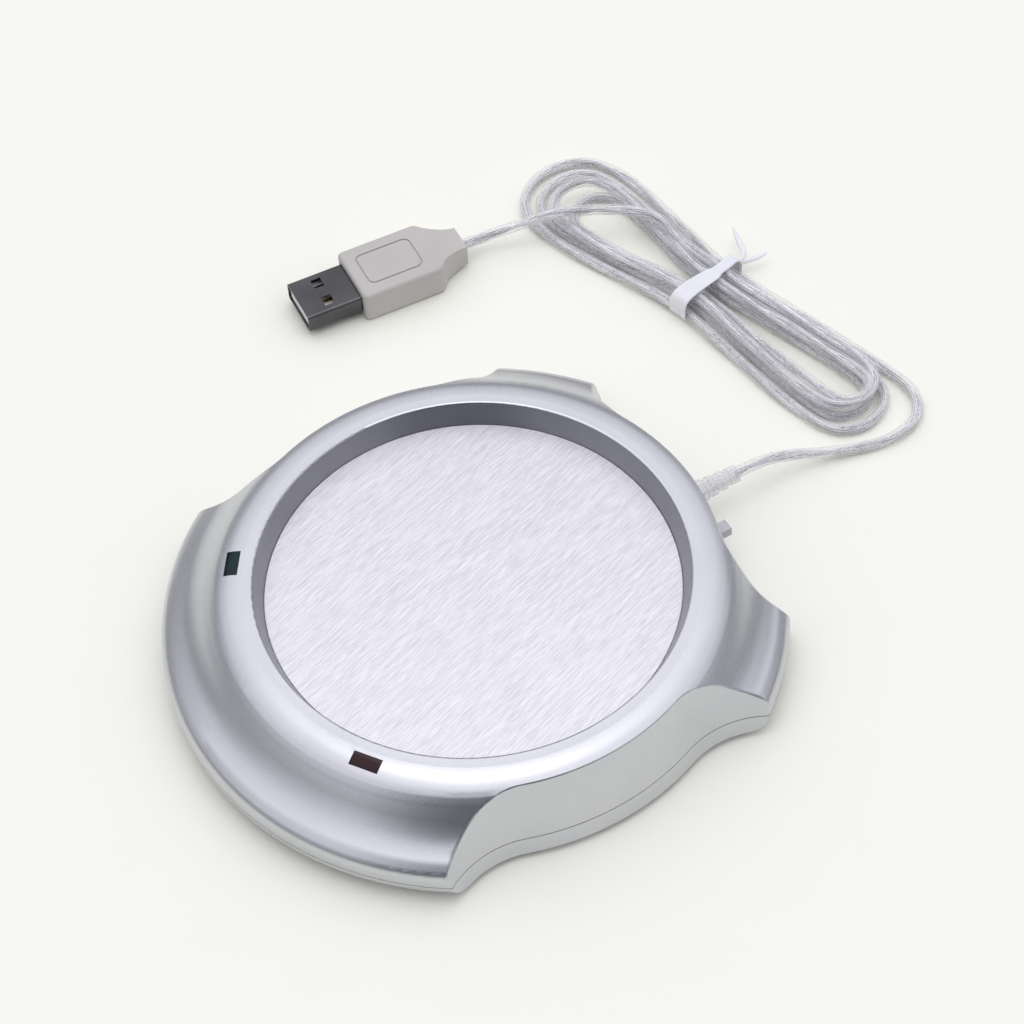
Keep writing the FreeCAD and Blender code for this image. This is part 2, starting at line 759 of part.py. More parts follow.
def heater_retainer():
    """The pressed steel disc under the felt, with three ears that its screws pull up."""
    body = disc("retainer", "retainer_dia", RETAINER_LOW, "retainer_thick")
    ear = new_sketch(body, "retainer_ear", "XY_Plane", RETAINER_LOW)
    reach = "-(post_circle / 2)"
    start = "-(retainer_dia / 2 - 3)"
    half = "ear_width / 2"
    spots = [Vector(size(x), size(y), 0) for x, y in
             (("-(%s)" % half, start), ("-(%s)" % half, reach), (half, reach), (half, start))]
    tip = Vector(0, size("%s - (%s)" % (reach, half)), 0)
    ear.addGeometry([
        Part.LineSegment(spots[0], spots[1]),
        Part.Arc(spots[1], tip, spots[2]),
        Part.LineSegment(spots[2], spots[3]),
        Part.LineSegment(spots[3], spots[0]),
    ])
    hold(ear, "Tangent", 0, 2, 1, 1)
    hold(ear, "Tangent", 1, 2, 2, 1)
    hold(ear, "Coincident", 2, 2, 3, 1)
    hold(ear, "Coincident", 3, 2, 0, 1)
    pin(ear, 1, 3, "0", reach)
    hold(ear, "Radius", 1, to=half)
    hold(ear, "Vertical", 0)
    hold(ear, "Horizontal", 3)
    hold(ear, "DistanceY", 0, 1, to=start)
    ear_pad = pad(body, ear, "retainer_ear_pad", "retainer_thick")
    ring_of(body, ear_pad, ear, "retainer_ears", 3)
    holes = new_sketch(body, "retainer_holes", "XY_Plane", RETAINER_LOW)
    for angle in EAR_POSTS:
        circle(holes, *spot("post_circle / 2", str(angle)), "screw_dia + 0.3")
    circle(holes, "0", "0", "cutout_dia + 0.6")
    inner, outer = "-(retainer_dia / 2 - 7)", "-(retainer_dia / 2 + 2)"
    polygon(holes, [("tab_place - tab_half", outer), ("tab_place + tab_half", outer),
                    ("tab_place + tab_half", inner), ("tab_place - tab_half", inner)])
    pocket(body, holes, "retainer_pierced", "retainer_thick", True)
    bead = new_sketch(body, "retainer_bead", "XY_Plane", RETAINER_LOW)
    circle(bead, "0", "0", "retainer_dia - 24")
    circle(bead, "0", "0", "retainer_dia - 29")
    pad(body, bead, "retainer_bead_pad", "bead_tall", True)
    return named(body, "heater_retainer")


def thermal_cutout():
    """The bimetal button that opens the heater's circuit when the plate runs too hot."""
    body = new_body("cutout")
    sketch = new_sketch(body, "cutout_outline", "XZ_Plane")
    polygon(sketch, [
        ("0", FILM_LOW),
        ("cutout_dia / 2", FILM_LOW),
        ("cutout_dia / 2", RETAINER_LOW),
        ("cutout_dia / 2 + 2.5", RETAINER_LOW),
        ("cutout_dia / 2 + 2.5", RETAINER_LOW + " - 0.8"),
        ("cutout_dia / 2 - 0.6", RETAINER_LOW + " - 0.8"),
        ("cutout_dia / 2 - 0.6", RETAINER_LOW + " - 3.2"),
        ("0", RETAINER_LOW + " - 3.2"),
    ])
    revolve(body, sketch, "cutout_turned")
    tags = new_sketch(body, "cutout_tags", "XY_Plane", RETAINER_LOW + " - 2.2")
    for side in ("-1", "1"):
        middle = side + " * (cutout_dia / 2 + 1)"
        polygon(tags, [(middle + " - 3", "-1"), (middle + " + 3", "-1"),
                       (middle + " + 3", "1"), (middle + " - 3", "1")])
    pad(body, tags, "cutout_tag_pads", "0.5")
    return named(body, "thermal_cutout")


# Fastenings

def screw(name, x, y, head_low, shank, upward=True):
    """A flat-headed screw; its shank rises from the head, or drops below it."""
    shank_z = "(%s) + head_tall" % head_low if upward else "(%s) - (%s)" % (head_low, shank)
    head = rod(name + "_head", "head_dia", "head_tall", x, y, head_low)
    stem = rod(name + "_stem", "screw_dia", shank, x, y, shank_z)
    return fuse(name + "_whole", [head, stem])


def crossed(name, whole, x, y, low):
    """The cross recess in a head that shows from below."""
    slots = [block(name + "_slot", "head_dia * 0.6", "0.5", "0.6", x, y, low),
             block(name + "_cross", "0.5", "head_dia * 0.6", "0.6", x, y, low)]
    return cut(name, whole, fuse(name + "_recess", slots))


def group(name, pieces):
    """Identical pieces kept as separate solids in one node."""
    result = doc.addObject("Part::Compound", name)
    result.Links = pieces
    return named(result, name)


def fastenings():
    case = []
    for i, angle in enumerate(CASE_SCREWS):
        x, y = spot("case_circle / 2", str(angle))
        whole = screw("case_screw_%d" % i, x, y, "foot_proud + 0.15", "case_shank")
        case.append(crossed("case_cross_%d" % i, whole, x, y, "foot_proud + 0.15"))
    group("cover_screws", case)
    ears = []
    for i, angle in enumerate(EAR_POSTS):
        x, y = spot("post_circle / 2", str(angle))
        ears.append(screw("ear_screw_%d" % i, x, y, RETAINER_LOW + " - head_tall", "ear_shank"))
    group("retainer_screws", ears)
    board = []
    for i, angle in enumerate(("-90 - board_post", "-90 + board_post")):
        x, y = spot("board_post_circle / 2", angle)
        pilot = "board_thick + 2.2"
        board.append(screw("board_screw_%d" % i, x, y, "board_level + board_thick", pilot, False))
    group("board_screws", board)
    clamp_top = "cord_level + cord_dia / 2 + fit_gap + clamp_thick"
    clamp = []
    for i, side in enumerate(("-clamp_half", "clamp_half")):
        clamp.append(screw("clamp_screw_%d" % i, side, "clamp_place", clamp_top, "clamp_thick + 2.6", False))
    group("clamp_screws", clamp)


def foot_pads():
    """Four rubber discs, each sunk a little into its seat under the base."""
    pads = []
    for i, angle in enumerate(FEET):
        x, y = spot("foot_circle / 2", str(angle))
        body = new_body("foot_%d" % i)
        sketch = new_sketch(body, "foot_outline_%d" % i, "XY_Plane")
        circle(sketch, x, y, "foot_dia")
        pad(body, sketch, "foot_pad_%d" % i, "foot_thick")
        pads.append(body)
    group("foot_pads", pads)


# Indicators and circuit board

def windows(outer):
    """The two smoked windows: flush with the crest above, flanged under the skin."""
    for word, angle in window_angles().items():
        slug = common(word + "_flush", outer,
                      window_hole(word + "_slug", angle, "0", "rim_top - window_depth", "rim_top + 1"))
        flange = window_hole(word + "_flange", angle, "window_flange", "rim_top - window_depth",
                             "rim_top - window_depth + 0.8", "0.01")
        named(fuse(word + "_window", [slug, flange]), word + "_window")


def circuit_board():
    """The crescent board under the front lobe that carries both lamps."""
    body = new_body("board")
    sketch = new_sketch(body, "board_outline", "XY_Plane", "board_level")
    half = math.radians(size("board_half"))
    inner, outer = size("board_inner"), size("board_outer")

    def at(radius, turned):
        angle = -math.pi / 2 + turned
        return Vector(math.cos(angle), math.sin(angle), 0) * radius

    sketch.addGeometry([
        Part.Arc(at(outer, -half), at(outer, 0), at(outer, half)),
        Part.LineSegment(at(outer, half), at(inner, half)),
        Part.Arc(at(inner, -half), at(inner, 0), at(inner, half)),
        Part.LineSegment(at(inner, -half), at(outer, -half)),
    ])
    hold(sketch, "Coincident", 0, 3, -1, 1)
    hold(sketch, "Coincident", 2, 3, -1, 1)
    hold(sketch, "Radius", 0, to="board_outer")
    hold(sketch, "Radius", 2, to="board_inner")
    hold(sketch, "Coincident", 0, 2, 1, 1)
    hold(sketch, "Coincident", 1, 2, 2, 2)
    hold(sketch, "Coincident", 2, 1, 3, 1)
    hold(sketch, "Coincident", 3, 2, 0, 1)
    hold(sketch, "DistanceX", 0, 2, to="board_outer * sin(board_half)")
    hold(sketch, "DistanceX", 0, 1, to="-board_outer * sin(board_half)")
    hold(sketch, "DistanceX", 2, 2, to="board_inner * sin(board_half)")
    hold(sketch, "DistanceX", 2, 1, to="-board_inner * sin(board_half)")
    pad(body, sketch, "board_pad", "board_thick")
    holes = new_sketch(body, "board_holes", "XY_Plane", "board_level")
    for angle in ("-90 - board_post", "-90 + board_post"):
        circle(holes, *spot("board_post_circle / 2", angle), "screw_dia + 0.3")
    pocket(body, holes, "board_pierced", "board_thick", True)
    return named(body, "circuit_board")


def lamps():
    """A rectangular lamp stands on the board under each window."""
    board_top = "board_level + board_thick"
    lamp_top = "rim_top - window_depth - 0.2"
    for word, angle in window_angles().items():
        lens = window_hole(word + "_lamp_lens", angle, "-0.35", board_top + " + 1.2", lamp_top)
        skirt = window_hole(word + "_lamp_skirt", angle, "-0.05", board_top, board_top + " + 1.2")
        named(fuse(word + "_lamp", [lens, skirt]), word + "_lamp")


def board_parts():
    """The dropping resistors, the heater's driver and a capacitor, soldered on the board."""
    top = "board_level + board_thick"
    pieces = []
    for i, angle in enumerate((-106.0, -100.0, -80.0, -74.0)):
        x, y = spot("45.2", str(angle))
        pieces.append(block("chip_%d" % i, "3.2", "1.6", "0.6", x, y, top))
    x, y = spot("45.5", "-90")
    driver = block("driver", "5", "4", "0.45", x, y, top)
    pieces.append(driver)
    group("board_parts", pieces)


# Heater switch

def switch_body():
    """The slide switch's metal can, open along its face where the lever travels."""
    can = block("switch_can", "switch_long", "switch_deep", "switch_tall", "switch_offset",
                "switch_face - switch_deep / 2", "switch_level")
    middle_z = "switch_level + switch_tall / 2"
    track = block("switch_track", "lever_wide + lever_travel + 2.4", "3.0", "lever_tall + 1.2",
                  "switch_offset", "switch_face - 1.7", middle_z + " - lever_tall / 2 - 0.6")
    mouth = block("switch_mouth", "lever_wide + lever_travel + 0.6", "2.0", "lever_tall + 0.4",
                  "switch_offset", "switch_face", middle_z + " - lever_tall / 2 - 0.2")
    hollow = cut("switch_hollow", can, fuse("switch_voids", [track, mouth]))
    legs = [block("switch_leg_%d" % i, "0.5", "2.6", "0.4", "switch_offset + %s" % x,
                  "switch_face - switch_deep - 1.3", middle_z)
            for i, x in enumerate(("-2.5", "0", "2.5"))]
    return named(fuse("switch_body", [hollow] + legs), "switch_body")


def switch_slider():
    """The lever in its off place: a wide foot inside the can and the nub that shows."""
    middle_z = "switch_level + switch_tall / 2"
    x = "switch_offset - lever_travel / 2"
    foot = block("slider_foot", "lever_wide + 1.6", "1.4", "lever_tall + 0.6", x,
                 "switch_face - 1.35", middle_z + " - lever_tall / 2 - 0.3")
    reach = "lever_reach - switch_face + 1.35"
    stem = block("slider_stem", "lever_wide", reach, "lever_tall", x,
                 "switch_face - 1.35 + (%s) / 2" % reach, middle_z + " - lever_tall / 2")
    grooves = [block("slider_groove_%d" % i, "0.35", "0.5", "lever_tall + 1",
                     x + " + %s" % shift, "lever_reach", middle_z + " - lever_tall / 2 - 0.5")
               for i, shift in enumerate(("-0.7", "0", "0.7"))]
    whole = fuse("slider_whole", [foot, stem])
    return named(cut("switch_slider", whole, fuse("slider_grooves", grooves)), "switch_slider")


# Cord inlet

def along(body, sketch, name):
    """Turns a profile drawn against the sketch's X axis about that axis."""
    feature = body.newObject("PartDesign::Revolution", name)
    feature.Profile = sketch
    feature.ReferenceAxis = (sketch, ["H_Axis"])
    feature.Angle = 360
    doc.recompute()
    return feature




def cord_bush():
    """The moulded bush: a flange behind the wall, a neck through it and a ribbed taper."""
    body = new_body("bush")
    sketch = new_sketch(body, "bush_profile", "XY_Plane")
    bore = "cord_dia / 2 + 0.05"
    corners = [
        (FLANGE_FACE + " - bush_lip", bore),
        (FLANGE_FACE + " - bush_lip", "bush_flange / 2"),
        (FLANGE_FACE, "bush_flange / 2"),
        (FLANGE_FACE, "bush_neck / 2"),
        (WALL_OUT + " + 1", "bush_neck / 2"),
    ]
    for i in range(3):
        start = "(%s) + 1 + %d * bush_rib" % (WALL_OUT, i)
        grown = "(bush_neck - %d * (bush_neck - bush_tip) / 3) / 2" % i
        corners.append((start + " + bush_rib * 0.5", grown))
        corners.append((start + " + bush_rib * 0.5", grown + " - 0.45"))
        corners.append((start + " + bush_rib", grown + " - 0.45"))
        thinner = "(bush_neck - %d * (bush_neck - bush_tip) / 3) / 2" % (i + 1)
        corners.append((start + " + bush_rib", thinner))
    corners += [(BODY_R, "bush_tip / 2"), (BODY_R, bore)]
    polygon(sketch, corners)
    along(body, sketch, "bush_turned")
    body.Placement = Placement(Vector(0, 0, 0), Rotation(UP, 90))
    bind(body, "Placement.Base.z", "cord_level")
    return named(body, "cord_bush")


def inner_cord():
    """The cord's end inside the housing, from behind the clamp to the bush's tip."""
    start = "clamp_place - 5"
    return named(along_y("inner_cord", "cord_dia", BODY_R + " - (%s)" % start, start), "inner_cord")


def cord_clamp():
    """The bar that two screws pull down on the cord, hollowed where it grips."""
    low = "cord_level + cord_dia / 2 + fit_gap"
    bar = block("clamp_bar", "2 * clamp_half + clamp_post", "clamp_post", "clamp_thick", "0",
                "clamp_place", low)
    tooth = block("clamp_tooth", "2.4", "clamp_post * 0.5", "0.3", "0", "clamp_place", low + " - 0.1")
    whole = fuse("clamp_whole", [bar, tooth])
    drills = [rod("clamp_hole_%d" % i, "screw_dia + 0.3", "6", side, "clamp_place", low + " - 1")
              for i, side in enumerate(("-clamp_half", "clamp_half"))]
    return named(cut("cord_clamp", whole, fuse("clamp_holes", drills)), "cord_clamp")


# Wires and cords: straight runs joined by tangent arcs

def route(points, share=0.45):
    """A smooth path along a list of points, and the radius of each bend."""
    runs = [(points[i + 1] - points[i]).Length for i in range(len(points) - 1)]
    edges = []
    radii = []
    last = points[0]
    for i in range(1, len(points) - 1):
        back = (points[i - 1] - points[i]).normalize()
        ahead = (points[i + 1] - points[i]).normalize()
        half_turn = (math.pi - back.getAngle(ahead)) / 2
        tangent = share * min(runs[i - 1], runs[i])
        radius = tangent / math.tan(half_turn)
        start = points[i] + back * tangent
        end = points[i] + ahead * tangent
        inward = (back + ahead).normalize()
        middle = points[i] + inward * (radius / math.cos(half_turn) - radius)
        edges.append(Part.LineSegment(last, start).toShape())
        edges.append(Part.Arc(start, middle, end).toShape())
        radii.append(radius)
        last = end
    edges.append(Part.LineSegment(last, points[-1]).toShape())
    return Part.Wire(edges), radii


def swept(path, dia, start, heading, sides):
    """A many-sided tube along a path, checked against its section times its length."""
    area = sides * dia * dia / 8 * math.sin(2 * math.pi / sides)
    across = heading.cross(UP).normalize()
    above = across.cross(heading).normalize()
    angles = [2 * math.pi * (k + 0.5) / sides for k in range(sides)]
    corners = [start + (across * math.cos(a) + above * math.sin(a)) * (dia / 2) for a in angles]
    ring = Part.makePolygon(corners + corners[:1])
    tube = path.makePipeShell([ring], True, False)
    expected = area * path.Length
    if not tube.isValid() or abs(tube.Volume / expected - 1) > 0.01:
        raise ValueError("a tube came out %.4f of its volume" % (tube.Volume / expected))
    return tube


def cord(name, points, dia):
    """A cord's free stretch; its bends are printed in diameters."""
    path, radii = route(points)
    thing = doc.addObject("Part::Feature", name)
    sides = int(size("strand_sides"))
    thing.Shape = swept(path, dia, points[0], points[1] - points[0], sides)
    print("%s: %.0f mm long, bends of %s diameters" % (
        name, path.Length, " ".join("%.1f" % (radius / dia) for radius in radii)))
    return named(thing, name)


def leads(name, routes):
    """Thin insulated wires that run together, as one node of separate solids."""
    dia = size("lead_dia")
    pieces = []
    for i, places in enumerate(routes):
        points = [Vector(size(x), size(y), size(z)) for x, y, z in places]
        thing = doc.addObject("Part::Feature", "%s_%d" % (name, i))
        thing.Shape = swept(route(points)[0], dia, points[0], points[1] - points[0], 6)
        pieces.append(thing)
    return group(name, pieces)


# Hank: loops wound about a waist that a tie holds, in two layers

def laid(u, v, z):
    """A place in the hank's own frame: u along its runs, v across them."""
    turn = math.radians(size("hank_turn"))
    x = size("hank_x") + u * math.cos(turn) - v * math.sin(turn)
    y = size("hank_y") + u * math.sin(turn) + v * math.cos(turn)
    return Vector(x, y, z)


def bowed(start, end, tangent):
    """An arc that leaves its start along a tangent."""
    chord = end - start
    across = chord - tangent * chord.dot(tangent)
    across.normalize()
    radius = chord.dot(chord) / (2 * chord.dot(across))
    hub = start + across * radius
    outward = ((start - hub) + (end - hub)).normalize()
    return Part.Arc(start, hub + outward * radius, end).toShape()


LOW_LAYER = "cord_dia / 2 + 0.05"
HIGH_LAYER = LOW_LAYER + " + layer_step"
WAIST_LIFT = "tie_thick + 0.2"


class Strand:
    """The hank's path, grown piece by piece and always smooth."""

    def __init__(self, u, v, z):
        self.place = (u, v, z)
        self.edges = []

    def straight(self, u):
        start = laid(*self.place)
        self.place = (u,) + self.place[1:]
        self.edges.append(Part.LineSegment(start, laid(*self.place)).toShape())

    def ease(self, u, v, z):
        """Two equal arcs that shift the run sideways, up or down."""
        start, end = laid(*self.place), laid(u, v, z)
        middle = (start + end) / 2
        tangent = (laid(u, v, z) - laid(self.place[0], v, z)).normalize()
        self.edges.append(bowed(start, middle, tangent))
        self.edges.append(bowed(end, middle, tangent * -1))
        self.place = (u, v, z)

    def turn(self, v, outward):
        """Half a turn to the other side of the hank."""
        u, old, z = self.place
        radius = abs(v - old) / 2
        middle = laid(u + outward * radius, (v + old) / 2, z)
        self.edges.append(Part.Arc(laid(u, old, z), middle, laid(u, v, z)).toShape())
        self.place = (u, v, z)


def hank_path():
    """Two layers of loops, spiralling in on the floor and out again on top."""
    waist = size("waist_half")
    right_end, left_end = size("right_end"), -size("left_end")
    low, high = size(LOW_LAYER), size(HIGH_LAYER)
    lift = size(WAIST_LIFT)

    def held(slot):
        return size("waist_step") * (slot + 0.5)

    def right(slot):
        return size("right_lobe") + size("right_step") * slot

    def left(slot):
        return size("left_lobe") + size("left_step") * slot

    strand = Strand(right_end + size("cord_dia"), right(2), low)
    strand.straight(right_end)
    # Each loop: its slot on the far side, on the near side and on the far side of the next
    # loop, its layer, and the layer that its near run climbs to
    loops = [(2, 2, 1, low, low), (1, 1, 0, low, low), (0, 0, 0, low, high), (0, 1, 1, high, high)]
    for far, near, following, layer, climbed in loops:
        strand.ease(waist, held(far), layer + lift)
        strand.straight(-waist)
        strand.ease(left_end, left(far), layer)
        strand.turn(-left(near), -1)
        strand.ease(-waist, -held(near), layer + lift)
        strand.straight(waist)
        strand.ease(right_end, -right(near), climbed)
        strand.turn(right(following), 1)
    strand.ease(waist, held(1), high + lift)
    strand.straight(-waist - size("cord_dia"))
    return strand


def least_gap(path, dia):
    """The smallest clear distance between turns that lie beside or on each other."""
    count = int(path.Length / 1.2)
    points = path.discretize(Number=count)
    apart = int(4 * dia / 1.2) + 1
    least = 1e9
    for i in range(0, count - apart):
        one = points[i]
        for j in range(i + apart, count):
            other = points[j]
            if abs(one.x - other.x) < 4 and abs(one.y - other.y) < 4:
                least = min(least, (one - other).Length)
    return least - dia


def cord_hank():
    strand = hank_path()
    path = Part.Wire(strand.edges)
    dia = size("cord_dia")
    start = laid(size("right_end + cord_dia"), size("right_lobe + 2 * right_step"), size(LOW_LAYER))
    heading = laid(-1, 0, 0) - laid(0, 0, 0)
    thing = doc.addObject("Part::Feature", "cord_hank")
    thing.Shape = swept(path, dia, start, heading, int(size("strand_sides")))
    print("cord_hank: %.0f mm long, least gap to itself %.2f mm" % (path.Length, least_gap(path, dia)))
    return named(thing, "cord_hank"), start, laid(*strand.place)


def cord_near(end):
    """From the bush's tip down to the floor and round the hank's end."""
    points = [Vector(0, size(BODY_R), size("cord_level"))]
    points += [Vector(x, y, z) for x, y, z in (
        (0.0, 69.2, 7.5),
        (0.6, 76.0, 5.3),
        (1.9, 83.3, 2.2),
        (4.4, 91.0, 1.3),
        (6.3, 98.3, 1.3),
        (4.9, 106.0, 1.3),
    )]
    points.append(end + (laid(8.6, 0, 0) - laid(0, 0, 0)))
    points.append(end)
    return cord("cord_near", points, size("cord_dia"))


def cord_far(start):
    """From the hank's upper layer over its near side and down into the plug's tail."""
    points = [start]
    points += [laid(u, v, z) for u, v, z in (
        (-13.5, size("waist_step * 1.5"), size(HIGH_LAYER + " + " + WAIST_LIFT)),
        (-19.3, 5.0, 7.7),
        (-26.5, 1.4, 7.7),
        (-33.0, -4.8, 7.5),
        (-38.2, -12.0, 7.4),
        (-42.4, -18.8, 5.4),
    )]
    turn = math.radians(size("plug_turn"))
    tail = Vector(size("plug_x"), size("plug_y"), size("grip_tall / 2"))
    points.append(tail - Vector(math.cos(turn), math.sin(turn), 0) * 6.5)
    points.append(tail)
    return cord("cord_far", points, size("cord_dia"))


def cord_tie():
    """A flat wire tie round the waist, its two ends twisted and bent apart."""
    body = new_body("tie")
    half = "(waist_step * 2.5 + cord_dia / 2 + 0.2)"
    low = "0.05"
    high = "(%s + %s + cord_dia / 2 + 0.2 + tie_thick)" % (HIGH_LAYER, WAIST_LIFT)
    sketch = new_sketch(body, "tie_loop", "YZ_Plane", "-tie_wide / 2")
    for grown in ("0", "-tie_thick"):
        side = "(%s + tie_thick + %s)" % (half, grown)
        bottom = "(%s - (%s))" % (low, grown)
        top = "(%s + %s)" % (high, grown)
        corner = "(1.9 + %s)" % grown
        rounded_box(sketch, side, bottom, top, corner)
    pad(body, sketch, "tie_band", "tie_wide")
    ends = new_sketch(body, "tie_ends", "XY_Plane", "(%s) / 2" % high)
    rim = half + " + tie_thick"
    polygon(ends, [
        ("-1.1", rim + " - 0.3"),
        ("1.1", rim + " - 0.3"),
        ("0.9", rim + " + 3.4"),
        ("3.0", rim + " + 7.0"),
        ("1.6", rim + " + 8.2"),
        ("-0.6", rim + " + 5.0"),
        ("-4.2", rim + " + 5.4"),
        ("-8.6", rim + " + 9.2"),
        ("-9.6", rim + " + 8.0"),
        ("-5.0", rim + " + 3.8"),
        ("-1.0", rim + " + 3.0"),
    ])
    pad(body, ends, "tie_tails", "tie_thick * 1.6")
    place_by(body, "hank_x", "hank_y", "0", "hank_turn")
    return named(body, "cord_tie")


def place_by(body, x, y, z, angle):
    """Turns a body about the vertical axis and moves it to its place."""
    body.Placement = Placement(Vector(0, 0, 0), Rotation(UP, 1))
    bind(body, "Placement.Rotation.Angle", angle)
    for letter, expression in zip("xyz", (x, y, z)):
        bind(body, "Placement.Base." + letter, expression)


def outline(sketch, corners):
    """A closed outline; each corner names the radius of the edge after it, or None.

    A positive radius bows that edge to the right of its way, a negative one to the left.
    """
    count = len(corners)
    spots = [Vector(size(x), size(y), 0) for x, y, _ in corners]
    first = sketch.GeometryCount
    ends = []
    for i, (_, _, bow) in enumerate(corners):
        start, end = spots[i], spots[(i + 1) % count]
        if bow is None:
            sketch.addGeometry(Part.LineSegment(start, end))
            ends.append((1, 2))
            continue
        radius = size(bow)
        chord = end - start
        half = chord.Length / 2
        right = Vector(chord.y, -chord.x, 0).normalize()
        rise = abs(radius) - math.sqrt(max(0.0, radius * radius - half * half))
        middle = (start + end) / 2 + right * math.copysign(rise, radius)
        sketch.addGeometry(Part.Arc(start, middle, end))
        ends.append((1, 2) if radius > 0 else (2, 1))
    for i, (x, y, bow) in enumerate(corners):
        edge, other = first + i, first + (i + 1) % count
        hold(sketch, "Coincident", edge, ends[i][1], other, ends[(i + 1) % count][0])
        pin(sketch, edge, ends[i][0], x, y)
    for i, (x, y, bow) in enumerate(corners):
        if bow is not None:
            hold(sketch, "Radius", first + i, to=bow.lstrip("-"))


def rounded_box(sketch, side, bottom, top, corner):
    """A rectangle with rounded corners, as wide to the left as to the right."""
    outline(sketch, [
        ("-%s + %s" % (side, corner), bottom, None),
        ("%s - %s" % (side, corner), bottom, corner),
        (side, "%s + %s" % (bottom, corner), None),
        (side, "%s - %s" % (top, corner), corner),
        ("%s - %s" % (side, corner), top, None),
        ("-%s + %s" % (side, corner), top, corner),
        ("-%s" % side, "%s - %s" % (top, corner), None),
        ("-%s" % side, "%s + %s" % (bottom, corner), corner),
    ])


# Plug, modelled with its tail at the origin and its mouth towards +X

GRIP_END = "grip_taper + grip_long"
MOUTH = "grip_taper + grip_long + shell_out"


def plug_overmould():
    """The soft moulded grip: a flat body, a necked tail and a shallow outlined bare panel."""
    body = new_body("grip")
    sketch = new_sketch(body, "grip_plan", "XY_Plane", "-grip_tall / 2")
    side = "grip_wide / 2"
    corner = "grip_corner"
    outline(sketch, [
        ("0", "-grip_neck / 2", "-9"),
        ("grip_taper + 0.4", "-(%s) + 0.7" % side, "2"),
        ("grip_taper + 2", "-(%s)" % side, None),
        (GRIP_END + " - " + corner, "-(%s)" % side, corner),
        (GRIP_END, "-(%s) + %s" % (side, corner), None),
        (GRIP_END, side + " - " + corner, corner),
        (GRIP_END + " - " + corner, side, None),
        ("grip_taper + 2", side, "2"),
        ("grip_taper + 0.4", side + " - 0.7", "-9"),
        ("0", "grip_neck / 2", None),
    ])
    pad(body, sketch, "grip_pad", "grip_tall")
    top = size("grip_tall / 2")

    def is_rim(edge):
        box = edge.BoundBox
        return box.ZMax - box.ZMin < 0.001 and abs(abs(box.ZMax) - top) < 0.001 and box.XMax > 0.01

    rounded(body, "grip_soft", "grip_soft_round", is_rim)
    wedge = new_sketch(body, "grip_wedges", "XZ_Plane", "-grip_wide")
    for sign in ("", "-"):
        polygon(wedge, [
            ("-1", "%s(tail_dia / 2)" % sign),
            ("0.8", "%s(tail_dia / 2)" % sign),
            ("grip_taper + 2.3", "%s(grip_tall / 2 + 0.4)" % sign),
            ("-1", "%s(grip_tall / 2 + 0.4)" % sign),
        ])
    pocket(body, wedge, "grip_tapered", "2 * grip_wide", True)
    cavity = new_sketch(body, "grip_cavity", "YZ_Plane", GRIP_END)
    wide, tall = "shell_wide / 2 + 0.05", "shell_tall / 2 + 0.05"
    polygon(cavity, [("-(%s)" % wide, "-(%s)" % tall), (wide, "-(%s)" % tall),
                     (wide, tall), ("-(%s)" % wide, tall)])
    pocket(body, cavity, "grip_hollow", "shell_in")
    frame = new_sketch(body, "panel_line", "XY_Plane", "grip_tall / 2")
    for grown in ("0", "-0.45"):
        long = "(panel_long / 2 + %s)" % grown
        half = "(panel_wide / 2 + %s)" % grown
        corner = "(1.8 + %s)" % grown
        centre = "(grip_taper + grip_long / 2 + 0.6)"
        outline(frame, [
            (centre + " - " + long + " + " + corner, "-" + half, None),
            (centre + " + " + long + " - " + corner, "-" + half, corner),
            (centre + " + " + long, "-" + half + " + " + corner, None),
            (centre + " + " + long, half + " - " + corner, corner),
            (centre + " + " + long + " - " + corner, half, None),
            (centre + " - " + long + " + " + corner, half, corner),
            (centre + " - " + long, half + " - " + corner, None),
            (centre + " - " + long, "-" + half + " + " + corner, corner),
        ])
    pocket(body, frame, "panel_engraved", "0.3")
    place_by(body, "plug_x", "plug_y", "grip_tall / 2", "plug_turn")
    return named(body, "plug_overmould")


def plug_shell():
    """The folded metal shell, open at its mouth, with two latch windows on each side."""
    body = new_body("shell")
    sketch = new_sketch(body, "shell_section", "YZ_Plane", GRIP_END + " - shell_in")
    wide, tall = "shell_wide / 2", "shell_tall / 2"
    for grown in ("0", "-shell_wall"):
        half = "(%s + %s)" % (wide, grown)
        top = "(%s + %s)" % (tall, grown)
        rounded_box(sketch, half, "-" + top, top, "(0.7 + %s)" % grown)
    pad(body, sketch, "shell_pad", "shell_in + shell_out")
    windows_cut = new_sketch(body, "shell_windows", "XY_Plane", tall)
    for side in ("1", "-1"):
        y = side + " * shell_window_offset"
        left, right = MOUTH + " - 7.2", MOUTH + " - 4.9"
        polygon(windows_cut, [(left, y + " - 1.35"), (right, y + " - 1.35"),
                              (right, y + " + 1.35"), (left, y + " + 1.35")])
    pocket(body, windows_cut, "shell_pierced", "shell_tall")
    place_by(body, "plug_x", "plug_y", "grip_tall / 2", "plug_turn")
    return named(body, "plug_shell")


def plug_tongue():
    """The white carrier in the lower half of the shell."""
    body = new_body("tongue")
    low = "-(shell_tall / 2 - shell_wall - 0.15)"
    sketch = new_sketch(body, "tongue_plan", "XY_Plane", low)
    wide = "(shell_wide / 2 - shell_wall - 0.15)"
    back, front = GRIP_END + " - shell_in + 0.5", MOUTH + " - 0.5"
    polygon(sketch, [(back, "-" + wide), (front, "-" + wide), (front, wide), (back, wide)])
    pad(body, sketch, "tongue_pad", "tongue_thick")
    rear = new_sketch(body, "tongue_rear", "XY_Plane", low)
    inner = GRIP_END + " - 0.5"
    polygon(rear, [(back, "-" + wide), (inner, "-" + wide), (inner, wide), (back, wide)])
    pad(body, rear, "tongue_block", "shell_tall - 2 * shell_wall - 0.3")
    place_by(body, "plug_x", "plug_y", "grip_tall / 2", "plug_turn")
    return named(body, "plug_tongue")


